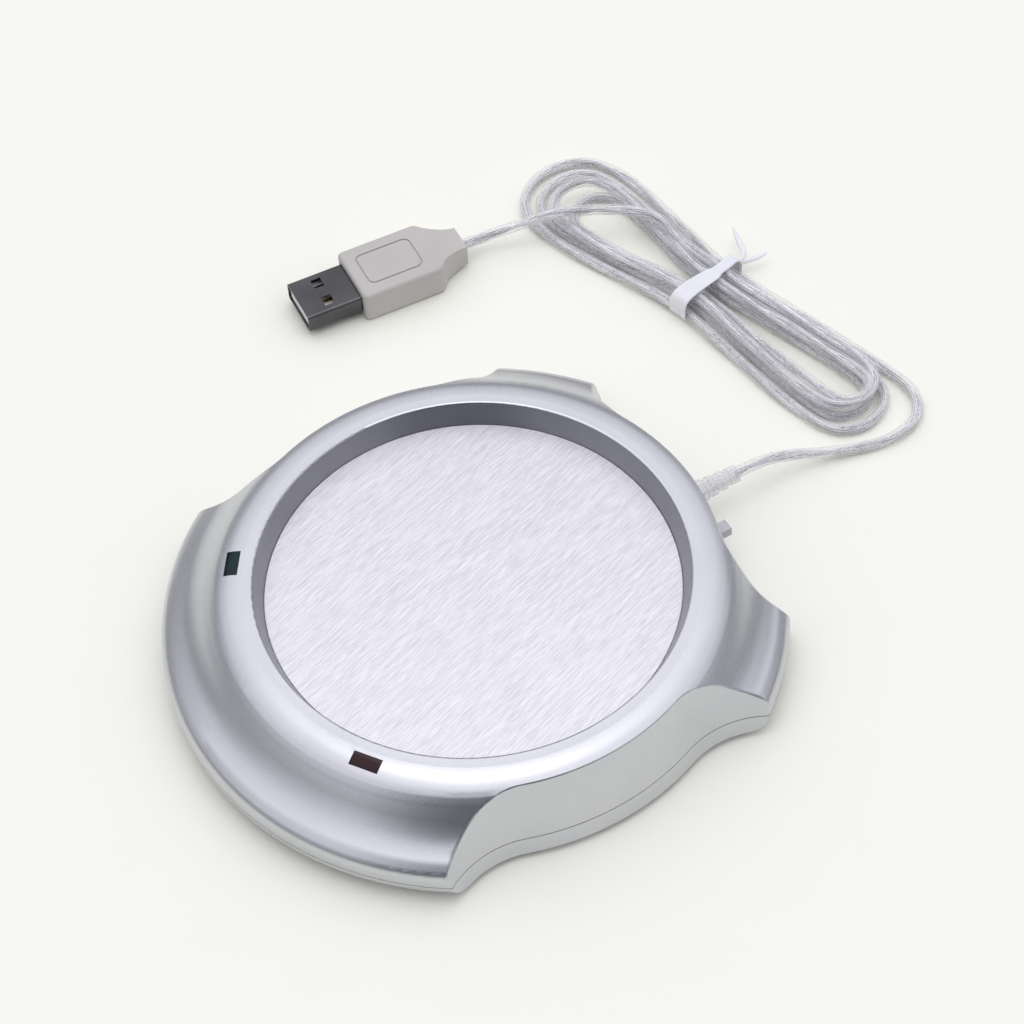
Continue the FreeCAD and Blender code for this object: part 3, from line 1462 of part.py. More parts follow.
def plug_contacts():
    """Four gilt strips on the tongue; the outer two reach further forward."""
    pieces = []
    level = "-(shell_tall / 2 - shell_wall - 0.15) + tongue_thick"
    for i, (y, reach) in enumerate((("-3.5", "1.2"), ("-1", "2.2"), ("1", "2.2"), ("3.5", "1.2"))):
        body = new_body("contact_%d" % i)
        sketch = new_sketch(body, "contact_plan_%d" % i, "XY_Plane", level)
        back, front = GRIP_END + " - 0.4", MOUTH + " - " + reach
        polygon(sketch, [(back, y + " - 0.5"), (front, y + " - 0.5"),
                         (front, y + " + 0.5"), (back, y + " + 0.5")])
        pad(body, sketch, "contact_pad_%d" % i, "contact_thick")
        place_by(body, "plug_x", "plug_y", "grip_tall / 2", "plug_turn")
        pieces.append(body)
    group("plug_contacts", pieces)


# Wiring inside

def wiring():
    """Supply leads to the board, heater leads to the film's tab, and the switch's pair."""
    floor = "foot_proud + skin + lead_dia / 2 + 0.1"
    board_top = "board_level + board_thick + lead_dia / 2 + 0.05"
    under_board = "board_level - lead_dia / 2 - 0.1"
    leads("supply_leads", [
        [("-1.2", "clamp_place - 5.2", "cord_level - 0.8"), ("-2.2", "clamp_place - 11", floor + " + 1"),
         ("-5", "22", floor), ("-6", "0", floor), ("-5", "-22", floor),
         ("-3", "-36", floor + " + 0.2"), ("-3", "-42.6", under_board)],
        [("1.2", "clamp_place - 5.2", "cord_level - 0.8"), ("1.6", "clamp_place - 11", floor + " + 1"),
         ("-1", "22", floor), ("-2", "0", floor), ("-1", "-22", floor),
         ("0.6", "-36", floor + " + 0.2"), ("0.6", "-42.6", under_board)],
    ])
    leads("heater_leads", [
        [("tab_place - 2.5", "-38", FILM_LOW + " - 0.55"), ("tab_place - 2.5", "-39.8", FILM_LOW + " - 2.6"),
         ("tab_place - 2.8", "-42.4", board_top)],
        [("tab_place + 2.5", "-38", FILM_LOW + " - 0.55"), ("tab_place + 2.5", "-39.6", FILM_LOW + " - 2.6"),
         ("tab_place + 2.8", "-41.8", board_top)],
    ])
    switch_z = "switch_level + switch_tall / 2 - lead_dia / 2 - 0.1"
    leads("switch_leads", [
        [("switch_offset - 2.5", "switch_face - switch_deep - 2", switch_z),
         ("switch_offset - 2.5", "34", floor), ("9", "18", floor), ("8.4", "-2", floor),
         ("6.6", "-22", floor), ("3.8", "-36", floor + " + 0.2"), ("3.4", "-42.6", under_board)],
        [("switch_offset", "switch_face - switch_deep - 2", switch_z),
         ("switch_offset", "34", floor), ("13.4", "18", floor), ("12.6", "-2", floor),
         ("10.4", "-22", floor), ("7.2", "-36", floor + " + 0.2"), ("6", "-42.6", under_board)],
    ])


# Assembly

outer_form = cover_outer()
hollow_form = core("cover_core", "skin", "parting")
named(top_cover(outer_form, hollow_form), "top_cover")
named(base_cover(), "base_cover")
heating_plate()
film_heater()
insulation_pad()
heater_retainer()
thermal_cutout()
fastenings()
foot_pads()
windows(outer_form)
circuit_board()
lamps()
board_parts()
switch_body()
switch_slider()
cord_bush()
inner_cord()
cord_clamp()
wiring()
hank, hank_start, hank_end = cord_hank()
cord_near(hank_start)
cord_far(hank_end)
cord_tie()
plug_overmould()
plug_shell()
plug_tongue()
plug_contacts()

doc.recompute()
for thing in doc.Objects:
    if "Invalid" in thing.State or "Error" in thing.State:
        raise ValueError("%s did not build: %s" % (thing.Name, thing.State))
for node in NODES:
    if node.Shape.isNull() or not node.Shape.isValid():
        raise ValueError("%s has no valid shape" % node.Label)

os.makedirs("parts", exist_ok=True)
for node in NODES:
    node.Shape.exportStep("parts/%s.step" % node.Label)
    print("%-18s %2d solids %9.1f mm3" % (node.Label, len(node.Shape.Solids), node.Shape.Volume))
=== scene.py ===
# %% [markdown]
# # A USB mug warmer
#
# A flat lobed housing in satin silver paint holds a brushed metal plate that a mug stands on. A
# thin clear cord leaves the back, lies in a tied hank, and ends in a grey USB plug. The exact parts
# come from the CAD model, which is loaded first and is never moved. What the CAD leaves plain is
# built here: the cord with its wires, the tie, the housing's eased dome, and every finish.

# %% Load the CAD frame
import math

import bmesh
import bpy
import numpy as np
from mathutils import Matrix, Vector, noise


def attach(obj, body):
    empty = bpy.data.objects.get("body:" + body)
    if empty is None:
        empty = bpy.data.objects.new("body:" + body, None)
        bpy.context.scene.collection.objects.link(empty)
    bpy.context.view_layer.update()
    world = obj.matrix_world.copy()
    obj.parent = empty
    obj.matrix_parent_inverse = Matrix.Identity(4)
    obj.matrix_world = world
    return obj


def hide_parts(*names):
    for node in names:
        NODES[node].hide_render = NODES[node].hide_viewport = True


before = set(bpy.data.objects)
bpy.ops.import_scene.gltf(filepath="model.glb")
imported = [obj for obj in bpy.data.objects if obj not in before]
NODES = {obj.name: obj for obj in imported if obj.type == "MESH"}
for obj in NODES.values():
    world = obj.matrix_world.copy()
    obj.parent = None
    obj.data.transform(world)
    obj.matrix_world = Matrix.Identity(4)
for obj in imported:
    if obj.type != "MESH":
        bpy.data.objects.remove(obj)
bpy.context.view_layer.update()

HOUSING = "housing"
MM = 0.001

# %% [markdown]
# ## Camera
#
# The photograph was taken from above and to the right of the uncut front. Its lens and place were
# fitted to the rim and the plate, which are true circles, so the same circles fall in the same
# places here. The camera is built from where it stands, where it looks and how it is rolled.

# %% Camera
PHOTO_SIDE = 1024
FOCAL_PIXELS = 2500.0
CAMERA_AWAY = 0.488241
CAMERA_HEIGHT_ANGLE = 0.93076
CAMERA_AZIMUTH = math.radians(63.5)
CAMERA_PAN, CAMERA_TILT, CAMERA_ROLL = 0.01805, 0.02185, -0.06355
RIM_TOP = 19.5 * MM


def photo_camera():
    back = Vector((0, -math.cos(CAMERA_HEIGHT_ANGLE), math.sin(CAMERA_HEIGHT_ANGLE)))
    side = Vector((1, 0, 0))
    ahead = (-back + CAMERA_PAN * side + CAMERA_TILT * side.cross(-back)).normalized()
    level = ahead.cross(Vector((0, 0, 1))).normalized()
    above = level.cross(ahead)
    right = math.cos(CAMERA_ROLL) * level + math.sin(CAMERA_ROLL) * above
    up = -math.sin(CAMERA_ROLL) * level + math.cos(CAMERA_ROLL) * above
    turned = Matrix.Rotation(CAMERA_AZIMUTH, 4, "Z")
    pose = Matrix((right, up, -ahead)).transposed().to_4x4()
    pose.translation = back * CAMERA_AWAY
    data = bpy.data.cameras.new("photo_camera")
    data.sensor_width = 36.0
    data.lens = FOCAL_PIXELS / PHOTO_SIDE * data.sensor_width
    data.clip_start, data.clip_end = 0.01, 20
    camera = bpy.data.objects.new("photo_camera", data)
    bpy.context.scene.collection.objects.link(camera)
    camera.matrix_world = Matrix.Translation((0, 0, RIM_TOP)) @ turned @ pose
    bpy.context.scene.camera = camera
    return camera


camera = photo_camera()
print("camera at", [round(x, 3) for x in camera.location], "lens", round(camera.data.lens, 2), "mm")

# %% [markdown]
# ## Helpers for pieces
#
# Each finished mesh keeps its place in its vertices, and its object stays at the origin. Round and
# folded parts are shaded smooth, and edges that turn sharply stay crisp.

# %% Helpers for pieces
def link(name, data):
    thing = bpy.data.objects.new(name, data)
    bpy.context.scene.collection.objects.link(thing)
    return thing


def piece_from(bm, name, smooth_below=40.0):
    """Turns a bmesh into a piece that rides on the housing."""
    bmesh.ops.remove_doubles(bm, verts=bm.verts, dist=1e-7)
    bmesh.ops.recalc_face_normals(bm, faces=bm.faces)
    for face in bm.faces:
        face.smooth = True
    for edge in bm.edges:
        if len(edge.link_faces) == 2 and edge.calc_face_angle() > math.radians(smooth_below):
            edge.smooth = False
    mesh = bpy.data.meshes.new(name)
    bm.to_mesh(mesh)
    bm.free()
    thing = link(name, mesh)
    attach(thing, HOUSING)
    print(name, "has", len(mesh.polygons), "faces")
    return thing


def mesh_of(curve_object):
    """The mesh that a curve makes, as it is shown."""
    bpy.context.view_layer.update()
    return bpy.data.meshes.new_from_object(curve_object)


# %% [markdown]
# ## The cord's route
#
# The cord is one length of limp clear vinyl, about a metre, drawn as one smooth NURBS line. It
# comes out of the bush, drops to the table, runs round the end of the hank and into it. The hank is
# four and a half loops held at the waist, whose folds fan out at both ends. Its control points are
# laid out in the hank's own frame: u runs along the loops and v across them.

# %% The hank's own frame
HANK_AT = Vector((-50 * MM, 89 * MM, 0))
HANK_TURN = math.radians(12.1)
CORD_THICK = 2.5 * MM


def laid(u, v, z):
    """A place in the hank's own frame, given in millimetres."""
    x = u * math.cos(HANK_TURN) - v * math.sin(HANK_TURN)
    y = u * math.sin(HANK_TURN) + v * math.cos(HANK_TURN)
    return HANK_AT + Vector((x, y, z)) * MM


# %% [markdown]
# One loop runs through the waist, folds back at the left end, returns through the waist and folds
# again at the right end. The line cuts a little inside the corners of its points, so the points of
# a fold lie slightly further out than the fold itself.

# %% The hank's loops
LOW, HIGH, WAIST_LIFT = 1.3, 4.25, 0.65
WAIST, FOLD_OUT = 5.5, 1.08
RIGHT_END, LEFT_END = 41.0, 39.5
RUN_MIDDLE = 22.0
HELD_STEP = 3.2
RIGHT_START, RIGHT_STEP, RIGHT_BULGE = 5.0, 3.0, 0.3
LEFT_START, LEFT_STEP, LEFT_BULGE = 6.6, 3.4, 0.4


def held(place):
    """How far a strand lies from the hank's middle line at the waist."""
    return HELD_STEP * (place + 0.5)


def right_of(place):
    return RIGHT_START + RIGHT_STEP * place


def left_of(place):
    return LEFT_START + LEFT_STEP * place


def fold(u, v_in, v_out, outward, z_in, z_out):
    """Five points that turn a run back on itself."""
    middle, radius = (v_in + v_out) / 2, abs(v_out - v_in) / 2
    side = 1 if v_in > v_out else -1
    points = []
    for step in range(5):
        turned = math.radians(45 * step)
        reach = radius * (FOLD_OUT if step in (1, 2, 3) else 1.0)
        points.append(laid(u + outward * reach * math.sin(turned),
                           middle + side * reach * math.cos(turned),
                           z_in + (z_out - z_in) * step / 4))
    return points


def loop(far, near, following, layer, climbed, drawn_left, drawn_right):
    """One loop's points; drawn_left and drawn_right shorten its two folds."""
    left_u, right_u = -LEFT_END + drawn_left, RIGHT_END - drawn_right
    high = layer + WAIST_LIFT
    left_middle = -RUN_MIDDLE + drawn_left / 2
    points = [laid(WAIST, held(far), high), laid(-WAIST, held(far), high)]
    points.append(laid(left_middle, (held(far) + left_of(far)) / 2 + LEFT_BULGE, layer))
    points += fold(left_u, left_of(far), -left_of(near), -1, layer, layer)
    points.append(laid(left_middle, -(held(near) + left_of(near)) / 2 - LEFT_BULGE, layer))
    points += [laid(-WAIST, -held(near), high), laid(WAIST, -held(near), high)]
    points.append(laid(RUN_MIDDLE, -(held(near) + right_of(near)) / 2 - RIGHT_BULGE,
                       (layer + climbed) / 2))
    points += fold(right_u, -right_of(near), right_of(following), 1, climbed, climbed)
    points.append(laid(RUN_MIDDLE, (held(following) + right_of(following)) / 2 + RIGHT_BULGE,
                       climbed))
    return points


# Each loop: its places on the far side, the near side and the next far side, its layer, the layer
# that it climbs to, and how far its two folds are drawn in
LOOPS = [
    (2, 2, 1, LOW, LOW, 0.0, 0.0),
    (1, 1, 0, LOW, LOW, 0.5, 1.0),
    (0, 0, 0, LOW, HIGH, 6.5, 0.0),
    (0, 1, 1, HIGH, HIGH, 4.0, 2.5),
]

# %% [markdown]
# The free ends are placed one by one: first the stretch from the bush, then, after the loops, the
# one that crosses the hank's near side and drops into the plug's tail.

# %% Route points
PLUG_AT = Vector((-90.2, 49.4, 3.9)) * MM
PLUG_TURN = math.radians(-94.8)
PLUG_ALONG = Vector((math.cos(PLUG_TURN), math.sin(PLUG_TURN), 0))
EXIT = Vector((0, 62.5, 7.5)) * MM
STRAIGHT_TAIL = 6.5


def cord_points():
    points = [EXIT] + [Vector(p) * MM for p in (
        (0.0, 69.2, 7.5),
        (0.6, 76.0, 5.3),
        (1.9, 83.3, 2.2),
        (4.4, 91.0, 1.3),
        (6.3, 98.3, 1.3),
        (4.9, 106.0, 1.3),
    )]
    points += [laid(52.1, 11.0, LOW), laid(RIGHT_END, right_of(2), LOW)]
    points.append(laid(RUN_MIDDLE, (held(2) + right_of(2)) / 2 + RIGHT_BULGE, LOW))
    for each in LOOPS:
        points += loop(*each)
    top = HIGH + WAIST_LIFT
    points += [laid(u, v, z) for u, v, z in (
        (WAIST, held(1), top),
        (-WAIST, held(1), top),
        (-13.5, 4.8, top),
        (-19.3, 5.0, 7.7),
        (-26.5, 1.4, 7.7),
        (-33.0, -4.8, 7.5),
        (-38.2, -12.0, 7.4),
        (-42.4, -18.8, 5.4),
    )]
    points += [PLUG_AT - PLUG_ALONG * STRAIGHT_TAIL * MM, PLUG_AT]
    return points


route = cord_points()
print("control points along the cord:", len(route))

# %% The cord's line, one smooth spline
def nurbs_line(points):
    """A NURBS curve with those control points, and the points down its middle."""
    curve = bpy.data.curves.new("cord_route", "CURVE")
    curve.dimensions = "3D"
    spline = curve.splines.new("NURBS")
    spline.points.add(len(points) - 1)
    for point, place in zip(spline.points, points):
        point.co = (*place, 1)
    spline.order_u = 3
    spline.use_endpoint_u = True
    curve.resolution_u = 8
    drawn = link("cord_route", curve)
    return drawn, [v.co.copy() for v in mesh_of(drawn).vertices]


cord_route, cord_line = nurbs_line(route)
print("points down the cord's middle:", len(cord_line))

# %% The clear jacket
def tube_piece(name, drawn, thick):
    """The curve again with a round section, as a mesh."""
    drawn.data.bevel_depth = thick / 2
    drawn.data.bevel_resolution = 4
    drawn.data.use_fill_caps = True
    mesh = mesh_of(drawn)
    mesh.name = name
    bpy.data.objects.remove(drawn)
    tube = link(name, mesh)
    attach(tube, HOUSING)
    return tube


cord_jacket = tube_piece("cord_jacket", cord_route, CORD_THICK)
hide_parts("cord_near", "cord_hank", "cord_far")
print("jacket has", len(cord_jacket.data.polygons), "faces")

# %% [markdown]
# ## The wires in the cord
#
# What shines in the cord is its copper: two bundles of tinned wires, twisted round each other under
# the clear vinyl. Each wire follows the cord's own line, read back from the curve, at a distance
# that swings it round its bundle while the bundle swings round the cord.

# %% Even steps and a frame along the cord
def evenly(line, step):
    """The same line with points a step apart, and how far along each one is."""
    places, run, left = [line[0]], [0.0], step
    total = 0.0
    for a, b in zip(line, line[1:]):
        length = (b - a).length
        done = 0.0
        while length - done >= left:
            done += left
            places.append(a.lerp(b, done / length))
            run.append(total + done)
            left = step
        left -= length - done
        total += length
    return places, run


def carried_frames(places):
    """A side and an up direction at each point, carried along without twisting."""
    frames, side = [], Vector((0, 0, 1))
    for i in range(len(places)):
        along = (places[min(i + 1, len(places) - 1)] - places[max(i - 1, 0)]).normalized()
        side = (side - along * side.dot(along)).normalized()
        frames.append((side.copy(), along.cross(side)))
    return frames


WIRE_STEP = 1.1 * MM
line, run = evenly(cord_line, WIRE_STEP)
frames = carried_frames(line)
print("cord line:", round(run[-1], 3), "m in", len(line), "points")

# %% Twisted wires
BUNDLES, WIRES = 2, 5
BUNDLE_OUT, WIRE_OUT, WIRE_THICK = 0.50 * MM, 0.33 * MM, 0.36 * MM
BUNDLE_PITCH, WIRE_PITCH = 38 * MM, 24 * MM
WANDER, WANDER_PER_METRE = 0.35, 60


def twisted_wires():
    curve = bpy.data.curves.new("cord_wires", "CURVE")
    curve.dimensions = "3D"
    curve.bevel_depth = WIRE_THICK / 2
    curve.bevel_resolution = 0
    for bundle in range(BUNDLES):
        for wire in range(WIRES):
            spline = curve.splines.new("POLY")
            spline.points.add(len(line) - 1)
            for i, place in enumerate(line):
                side, up = frames[i]
                where = Vector((run[i] * WANDER_PER_METRE, bundle * 7.0, wire * 3.0))
                wander = WANDER * noise.noise(where)
                swung = 2 * math.pi * (run[i] / BUNDLE_PITCH + bundle / BUNDLES)
                spun = 2 * math.pi * (wire / WIRES - run[i] / WIRE_PITCH) + wander
                out = side * math.cos(swung) + up * math.sin(swung)
                own = side * math.cos(spun) + up * math.sin(spun)
                spline.points[i].co = (*(place + out * BUNDLE_OUT + own * WIRE_OUT), 1)
    drawn = link("cord_wires_line", curve)
    mesh = mesh_of(drawn)
    bpy.data.objects.remove(drawn)
    mesh.name = "cord_wires"
    for face in mesh.polygons:
        face.use_smooth = True
    wires = link("cord_wires", mesh)
    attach(wires, HOUSING)
    print("cord_wires has", len(mesh.polygons), "faces")
    return wires


cord_wires = twisted_wires()

# %% [markdown]
# ## The tie
#
# A strip of soft white vinyl is wrapped once round the waist and its ends are twisted together. It
# is narrow where it is pulled tight on top and flares towards the table. It starts as one edge that
# is extruded round the waist, and a Solidify modifier gives it its thickness.

# %% Tie band
TIE_HALF, TIE_LOW, TIE_HIGH, TIE_CORNER = 9.6, 0.25, 6.55, 1.9
TIE_THICK = 0.4
TIE_ROWS = 6
TIE_WIDE, TIE_FLARE, TIE_PULLED_IN = 3.7, 1.1, 1.0
TIE_FLUTES, TIE_CLEAR = 0.10, 0.22


def tie_outline(count=72):
    """Places round the waist in (v, z), evenly spaced on a rounded rectangle."""
    wide, tall = TIE_HALF - TIE_CORNER, (TIE_HIGH - TIE_LOW) / 2 - TIE_CORNER
    middle = (TIE_HIGH + TIE_LOW) / 2
    quarter = math.pi / 2 * TIE_CORNER
    sides = [2 * tall, quarter, 2 * wide, quarter, 2 * tall, quarter, 2 * wide, quarter]
    total = sum(sides)
    places = []
    for k in range(count):
        at = total * k / count
        for index, length in enumerate(sides):
            if at <= length:
                break
            at -= length
        corner, share = index // 2, at / max(length, 1e-9)
        signs = [(1, 1), (-1, 1), (-1, -1), (1, -1)]
        if index % 2:
            sv, sz = signs[corner]
            angle = math.pi / 2 * (corner + share)
            places.append((sv * wide + TIE_CORNER * math.cos(angle),
                           middle + sz * tall + TIE_CORNER * math.sin(angle)))
        else:
            start_v, start_z = [(1, -1), (1, 1), (-1, 1), (-1, -1)][corner]
            end_v, end_z = signs[corner]
            v = wide * (start_v + (end_v - start_v) * share)
            z = tall * (start_z + (end_z - start_z) * share)
            push = [(1, 0), (0, 1), (-1, 0), (0, -1)][corner]
            places.append((v + push[0] * TIE_CORNER, middle + z + push[1] * TIE_CORNER))
    return places


def tie_band():
    bm = bmesh.new()
    outline = tie_outline()
    rows = []
    for step in range(TIE_ROWS + 1):
        share = step / TIE_ROWS - 0.5
        ring = []
        for v, z in outline:
            pulled = (v - TIE_HALF) / (2 * TIE_HALF)
            width = TIE_WIDE + TIE_FLARE * abs(pulled) ** 1.5 - TIE_PULLED_IN * (z > 5) * (v > 2)
            fluted = TIE_FLUTES * math.sin(share * 17 + v * 0.5)
            grown = 1 - 0.012 * (1 - 4 * share * share) + 0.008 * math.sin(v * 0.9 + share * 3)
            ring.append(bm.verts.new(laid(share * width + 0.25 * math.sin(v * 0.35), v * grown,
                                          max(TIE_CLEAR, z + fluted * (z > 3)))))
        rows.append(ring)
    for one, two in zip(rows, rows[1:]):
        edges = [bm.edges.get(pair) or bm.edges.new(pair)
                 for row in (one, two) for pair in zip(row, row[1:] + row[:1])]
        bmesh.ops.bridge_loops(bm, edges=edges)
    band = piece_from(bm, "tie_band")
    wall = band.modifiers.new("vinyl_thickness", "SOLIDIFY")
    wall.thickness = TIE_THICK * MM
    wall.offset = -1
    smooth = band.modifiers.new("soft_edges", "SUBSURF")
    smooth.levels = smooth.render_levels = 1
    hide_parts("cord_tie")
    return band


tie = tie_band()

# %% [markdown]
# The two tails leave a twisted knot at the tie's far edge. Each is a row of flat ovals, given as
# its place in the hank's frame and its width, and the ovals are bridged from one to the next.

# %% Tie ends
TAILS = [
    [(0.2, 9.4, 3.6, 1.3), (0.1, 11.2, 3.6, 0.9), (-0.8, 13.0, 3.6, 1.2), (-3.6, 14.6, 3.4, 1.3),
     (-6.6, 16.0, 3.3, 1.0), (-8.8, 17.4, 3.4, 0.35)],
    [(0.0, 9.4, 3.2, 1.3), (0.5, 11.4, 3.2, 0.9), (1.2, 13.2, 3.1, 1.2), (1.8, 15.4, 3.1, 1.2),
     (2.3, 17.2, 3.2, 0.35)],
]
TAIL_TWIST, TWISTED_OVALS = 55, 3
TAIL_HALF_WIDTH, TAIL_HALF_THICK, TIP_HALF_THICK = 0.62, 0.42, 0.15


def tie_ends():
    """Two tapering tails, each one closed piece."""
    bm = bmesh.new()
    for tail in TAILS:
        last = None
        for i, (u, v, z, wide) in enumerate(tail):
            centre = laid(u, v, z)
            before = laid(*tail[max(i - 1, 0)][:3])
            after = laid(*tail[min(i + 1, len(tail) - 1)][:3])
            along = (after - before).normalized()
            twisted = TAIL_TWIST * max(0, 1 - i / TWISTED_OVALS)
            twist = Matrix.Rotation(math.radians(twisted), 3, along)
            side = twist @ Vector((0, 0, 1)).cross(along).normalized()
            above = along.cross(side)
            half_thick = TAIL_HALF_THICK if wide > 0.5 else TIP_HALF_THICK
            ring = bmesh.ops.create_circle(bm, segments=10, radius=1)["verts"]
            for k, vert in enumerate(ring):
                angle = 2 * math.pi * k / len(ring)
                vert.co = centre + (side * math.cos(angle) * wide * TAIL_HALF_WIDTH
                                    + above * math.sin(angle) * half_thick) * MM
            edges = [bm.edges.get((a, b)) for a, b in zip(ring, ring[1:] + ring[:1])]
            if last:
                bmesh.ops.bridge_loops(bm, edges=last + edges)
            else:
                bmesh.ops.edgeloop_fill(bm, edges=edges)
            last = edges
        bmesh.ops.edgeloop_fill(bm, edges=last)
    ends = piece_from(bm, "tie_ends", 60)
    smooth = ends.modifiers.new("soft_tails", "SUBSURF")
    smooth.levels = smooth.render_levels = 2
    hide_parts("cord_tie")
    return ends


tie_tails = tie_ends()

# %% [markdown]
# ## The cord's two ends
#
# The cord is a free one: it starts at the bush's tip and ends in the plug, whose shell, tongue and
# contacts come from the CAD model.

print("cord declared:", cord_jacket.name)

# %% [markdown]
# ## The top cover's dome
#
# The cover's satin skin shows every change of slope. In the photograph the crest runs softly into
# the slope, which is steepest about halfway out and then flattens towards the edge. The CAD cover
# has a tighter hollow there, so the piece that is shown is a copy whose dome is eased, by up to
# 1.3 mm. Its profile is read from the uncut front, a new one is added up from a list of slopes, and
# each point is moved by the difference. The corners' normals are turned by the same rule.

# %% The dome's profile, as it is and eased
PARTING = 5.2 * MM
RIM_INSIDE = 43.5 * MM
FRONT_HALF = 12
SLOPE_AT = (45.2, 47.5, 50.0, 53.0, 54.5, 57.5, 60.0)
SLOPE_DEGREES = (0, 14, 37, 53, 51, 38, 37)
EASED_TO = (59.0, 61.0)
RADII = np.arange(44.0, 62.41, 0.1) * MM
SPREAD_STEPS = 10


def dome_profile(mesh):
    """The dome's height at each of RADII, read from the cover's uncut front."""
    spots = np.array([v.co for v in mesh.vertices])
    radius = np.hypot(spots[:, 0], spots[:, 1])
    angle = np.degrees(np.arctan2(spots[:, 1], spots[:, 0]))
    front = ((abs(angle + 90) < FRONT_HALF) & (radius > RIM_INSIDE)
             & (spots[:, 2] > PARTING + 1 * MM))
    tops = {}
    for r, z in zip(np.round(radius[front], 5), spots[front, 2]):
        tops[r] = max(z, tops.get(r, 0))
    reach = sorted(tops)
    # The cover's inner face lies under the outer one, so only the upper ring at a radius counts
    upper = [(r, tops[r]) for r in reach
             if tops[r] > max(tops[q] for q in reach if q >= r) - 1e-6]
    return np.interp(RADII, *np.array(upper).T)


def smoothstep(low, high, value):
    share = np.clip((value - low) / (high - low), 0, 1)
    return share * share * (3 - 2 * share)


def eased(profile):
    """How far the dome moves up at each of RADII."""
    r = RADII / MM
    slopes = np.interp(r, SLOPE_AT, SLOPE_DEGREES)
    weights = np.exp(-np.linspace(-2, 2, 2 * SPREAD_STEPS + 1) ** 2)
    padded = np.pad(slopes, SPREAD_STEPS, mode="edge")
    slopes = np.convolve(padded, weights / weights.sum(), mode="valid")
    drop = np.cumsum(np.tan(np.radians(slopes))) * (RADII[1] - RADII[0])
    end = np.searchsorted(r, EASED_TO[1])
    drop *= (profile[0] - profile[end]) / drop[end]
    return (profile[0] - drop - profile) * (1 - smoothstep(*EASED_TO, r))


cover_mesh = NODES["top_cover"].data
dome_heights = dome_profile(cover_mesh)
dome_moves = eased(dome_heights)
print("the dome moves, in mm, by", round(dome_moves.min() / MM, 2), "to",
      round(dome_moves.max() / MM, 2))

# %% The eased cover
def eased_cover():
    """The cover again, with its dome moved and its corners' normals turned to suit."""
    mesh = cover_mesh.copy()
    mesh.name = "cover_shell"
    count = len(mesh.vertices)
    spots = np.empty(count * 3)
    mesh.vertices.foreach_get("co", spots)
    spots = spots.reshape(-1, 3)
    radius = np.hypot(spots[:, 0], spots[:, 1])
    height = np.interp(radius, RADII, dome_heights)
    share = np.clip((spots[:, 2] - PARTING) / (height - PARTING), 0, 1)
    rise = np.interp(radius, RADII, dome_moves, 0, 0)
    grade = np.interp(radius, RADII, np.gradient(dome_moves, RADII), 0, 0)
    corners = np.empty(len(mesh.loops), int)
    mesh.loops.foreach_get("vertex_index", corners)
    normals = np.empty(len(mesh.loops) * 3)
    mesh.corner_normals.foreach_get("vector", normals)
    normals = normals.reshape(-1, 3)
    lean = np.zeros((count, 3))
    lean[:, :2] = spots[:, :2] / np.maximum(radius, 1e-9)[:, None] * (grade * share)[:, None]
    lean[:, 2] = rise / (height - PARTING) * (share < 1)
    normals = normals - lean[corners] * (normals[:, 2] / (1 + lean[corners, 2]))[:, None]
    normals /= np.linalg.norm(normals, axis=1)[:, None]
    spots[:, 2] += rise * share
    mesh.vertices.foreach_set("co", spots.ravel())
    mesh.normals_split_custom_set(normals.tolist())
    mesh.update()
    shell = link("cover_shell", mesh)
    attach(shell, HOUSING)
    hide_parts("top_cover")
    return shell


cover_shell = eased_cover()
print("cover_shell has", len(cover_shell.data.polygons), "faces")

# %% [markdown]
# ## Effects that several finishes share
#
# Two node groups are built once and placed in many materials. The first gives a fine grain with a
# slow unevenness, as sprayed paint and moulded plastic have. The second gives the long scratches of
# brushed metal. They put out only values and normals, and the shader stays in each material.
# Scales are per metre, so a grain scale of 2500 gives grains of under half a millimetre.

# %% Node group helpers
def new_group(name, inputs, outputs):
    group = bpy.data.node_groups.new(name, "ShaderNodeTree")
    for title, kind, value in inputs:
        socket = group.interface.new_socket(name=title, in_out="INPUT", socket_type=kind)
        if value is not None:
            socket.default_value = value
    for title, kind in outputs:
        group.interface.new_socket(name=title, in_out="OUTPUT", socket_type=kind)
    return group, group.nodes.new("NodeGroupInput"), group.nodes.new("NodeGroupOutput")


def noise_in(group, scale, detail, rough):
    node = group.nodes.new("ShaderNodeTexNoise")
    node.inputs["Scale"].default_value = scale
    node.inputs["Detail"].default_value = detail
    node.inputs["Roughness"].default_value = rough
    return node


def grain_group():
    group, given, out = new_group("fine_grain", [
        ("Grain Scale", "NodeSocketFloat", 2500.0),
        ("Depth", "NodeSocketFloat", 0.1),
    ], [
        ("Grain", "NodeSocketFloat"),
        ("Blotch", "NodeSocketFloat"),
        ("Normal", "NodeSocketVector"),
    ])
    place = group.nodes.new("ShaderNodeTexCoord")
    fine = noise_in(group, 2500, 3, 0.6)
    broad = noise_in(group, 60, 2, 0.5)
    bump = group.nodes.new("ShaderNodeBump")
    bump.inputs["Distance"].default_value = 0.0002
    join = group.links.new
    join(place.outputs["Object"], fine.inputs["Vector"])
    join(place.outputs["Object"], broad.inputs["Vector"])
    join(given.outputs["Grain Scale"], fine.inputs["Scale"])
    join(given.outputs["Depth"], bump.inputs["Strength"])
    join(fine.outputs["Fac"], bump.inputs["Height"])
    join(fine.outputs["Fac"], out.inputs["Grain"])
    join(broad.outputs["Fac"], out.inputs["Blotch"])
    join(bump.outputs["Normal"], out.inputs["Normal"])
    return group


# Each kind of line: its noise's scale along, across and through the metal, and its detail
FINE_LINES = ((130, 4200, 800), 3)
SCRATCHES = ((110, 2500, 500), 2)
HAIR_LINES = ((250, 9000, 2000), 2)
FINE_SHARE = 0.6


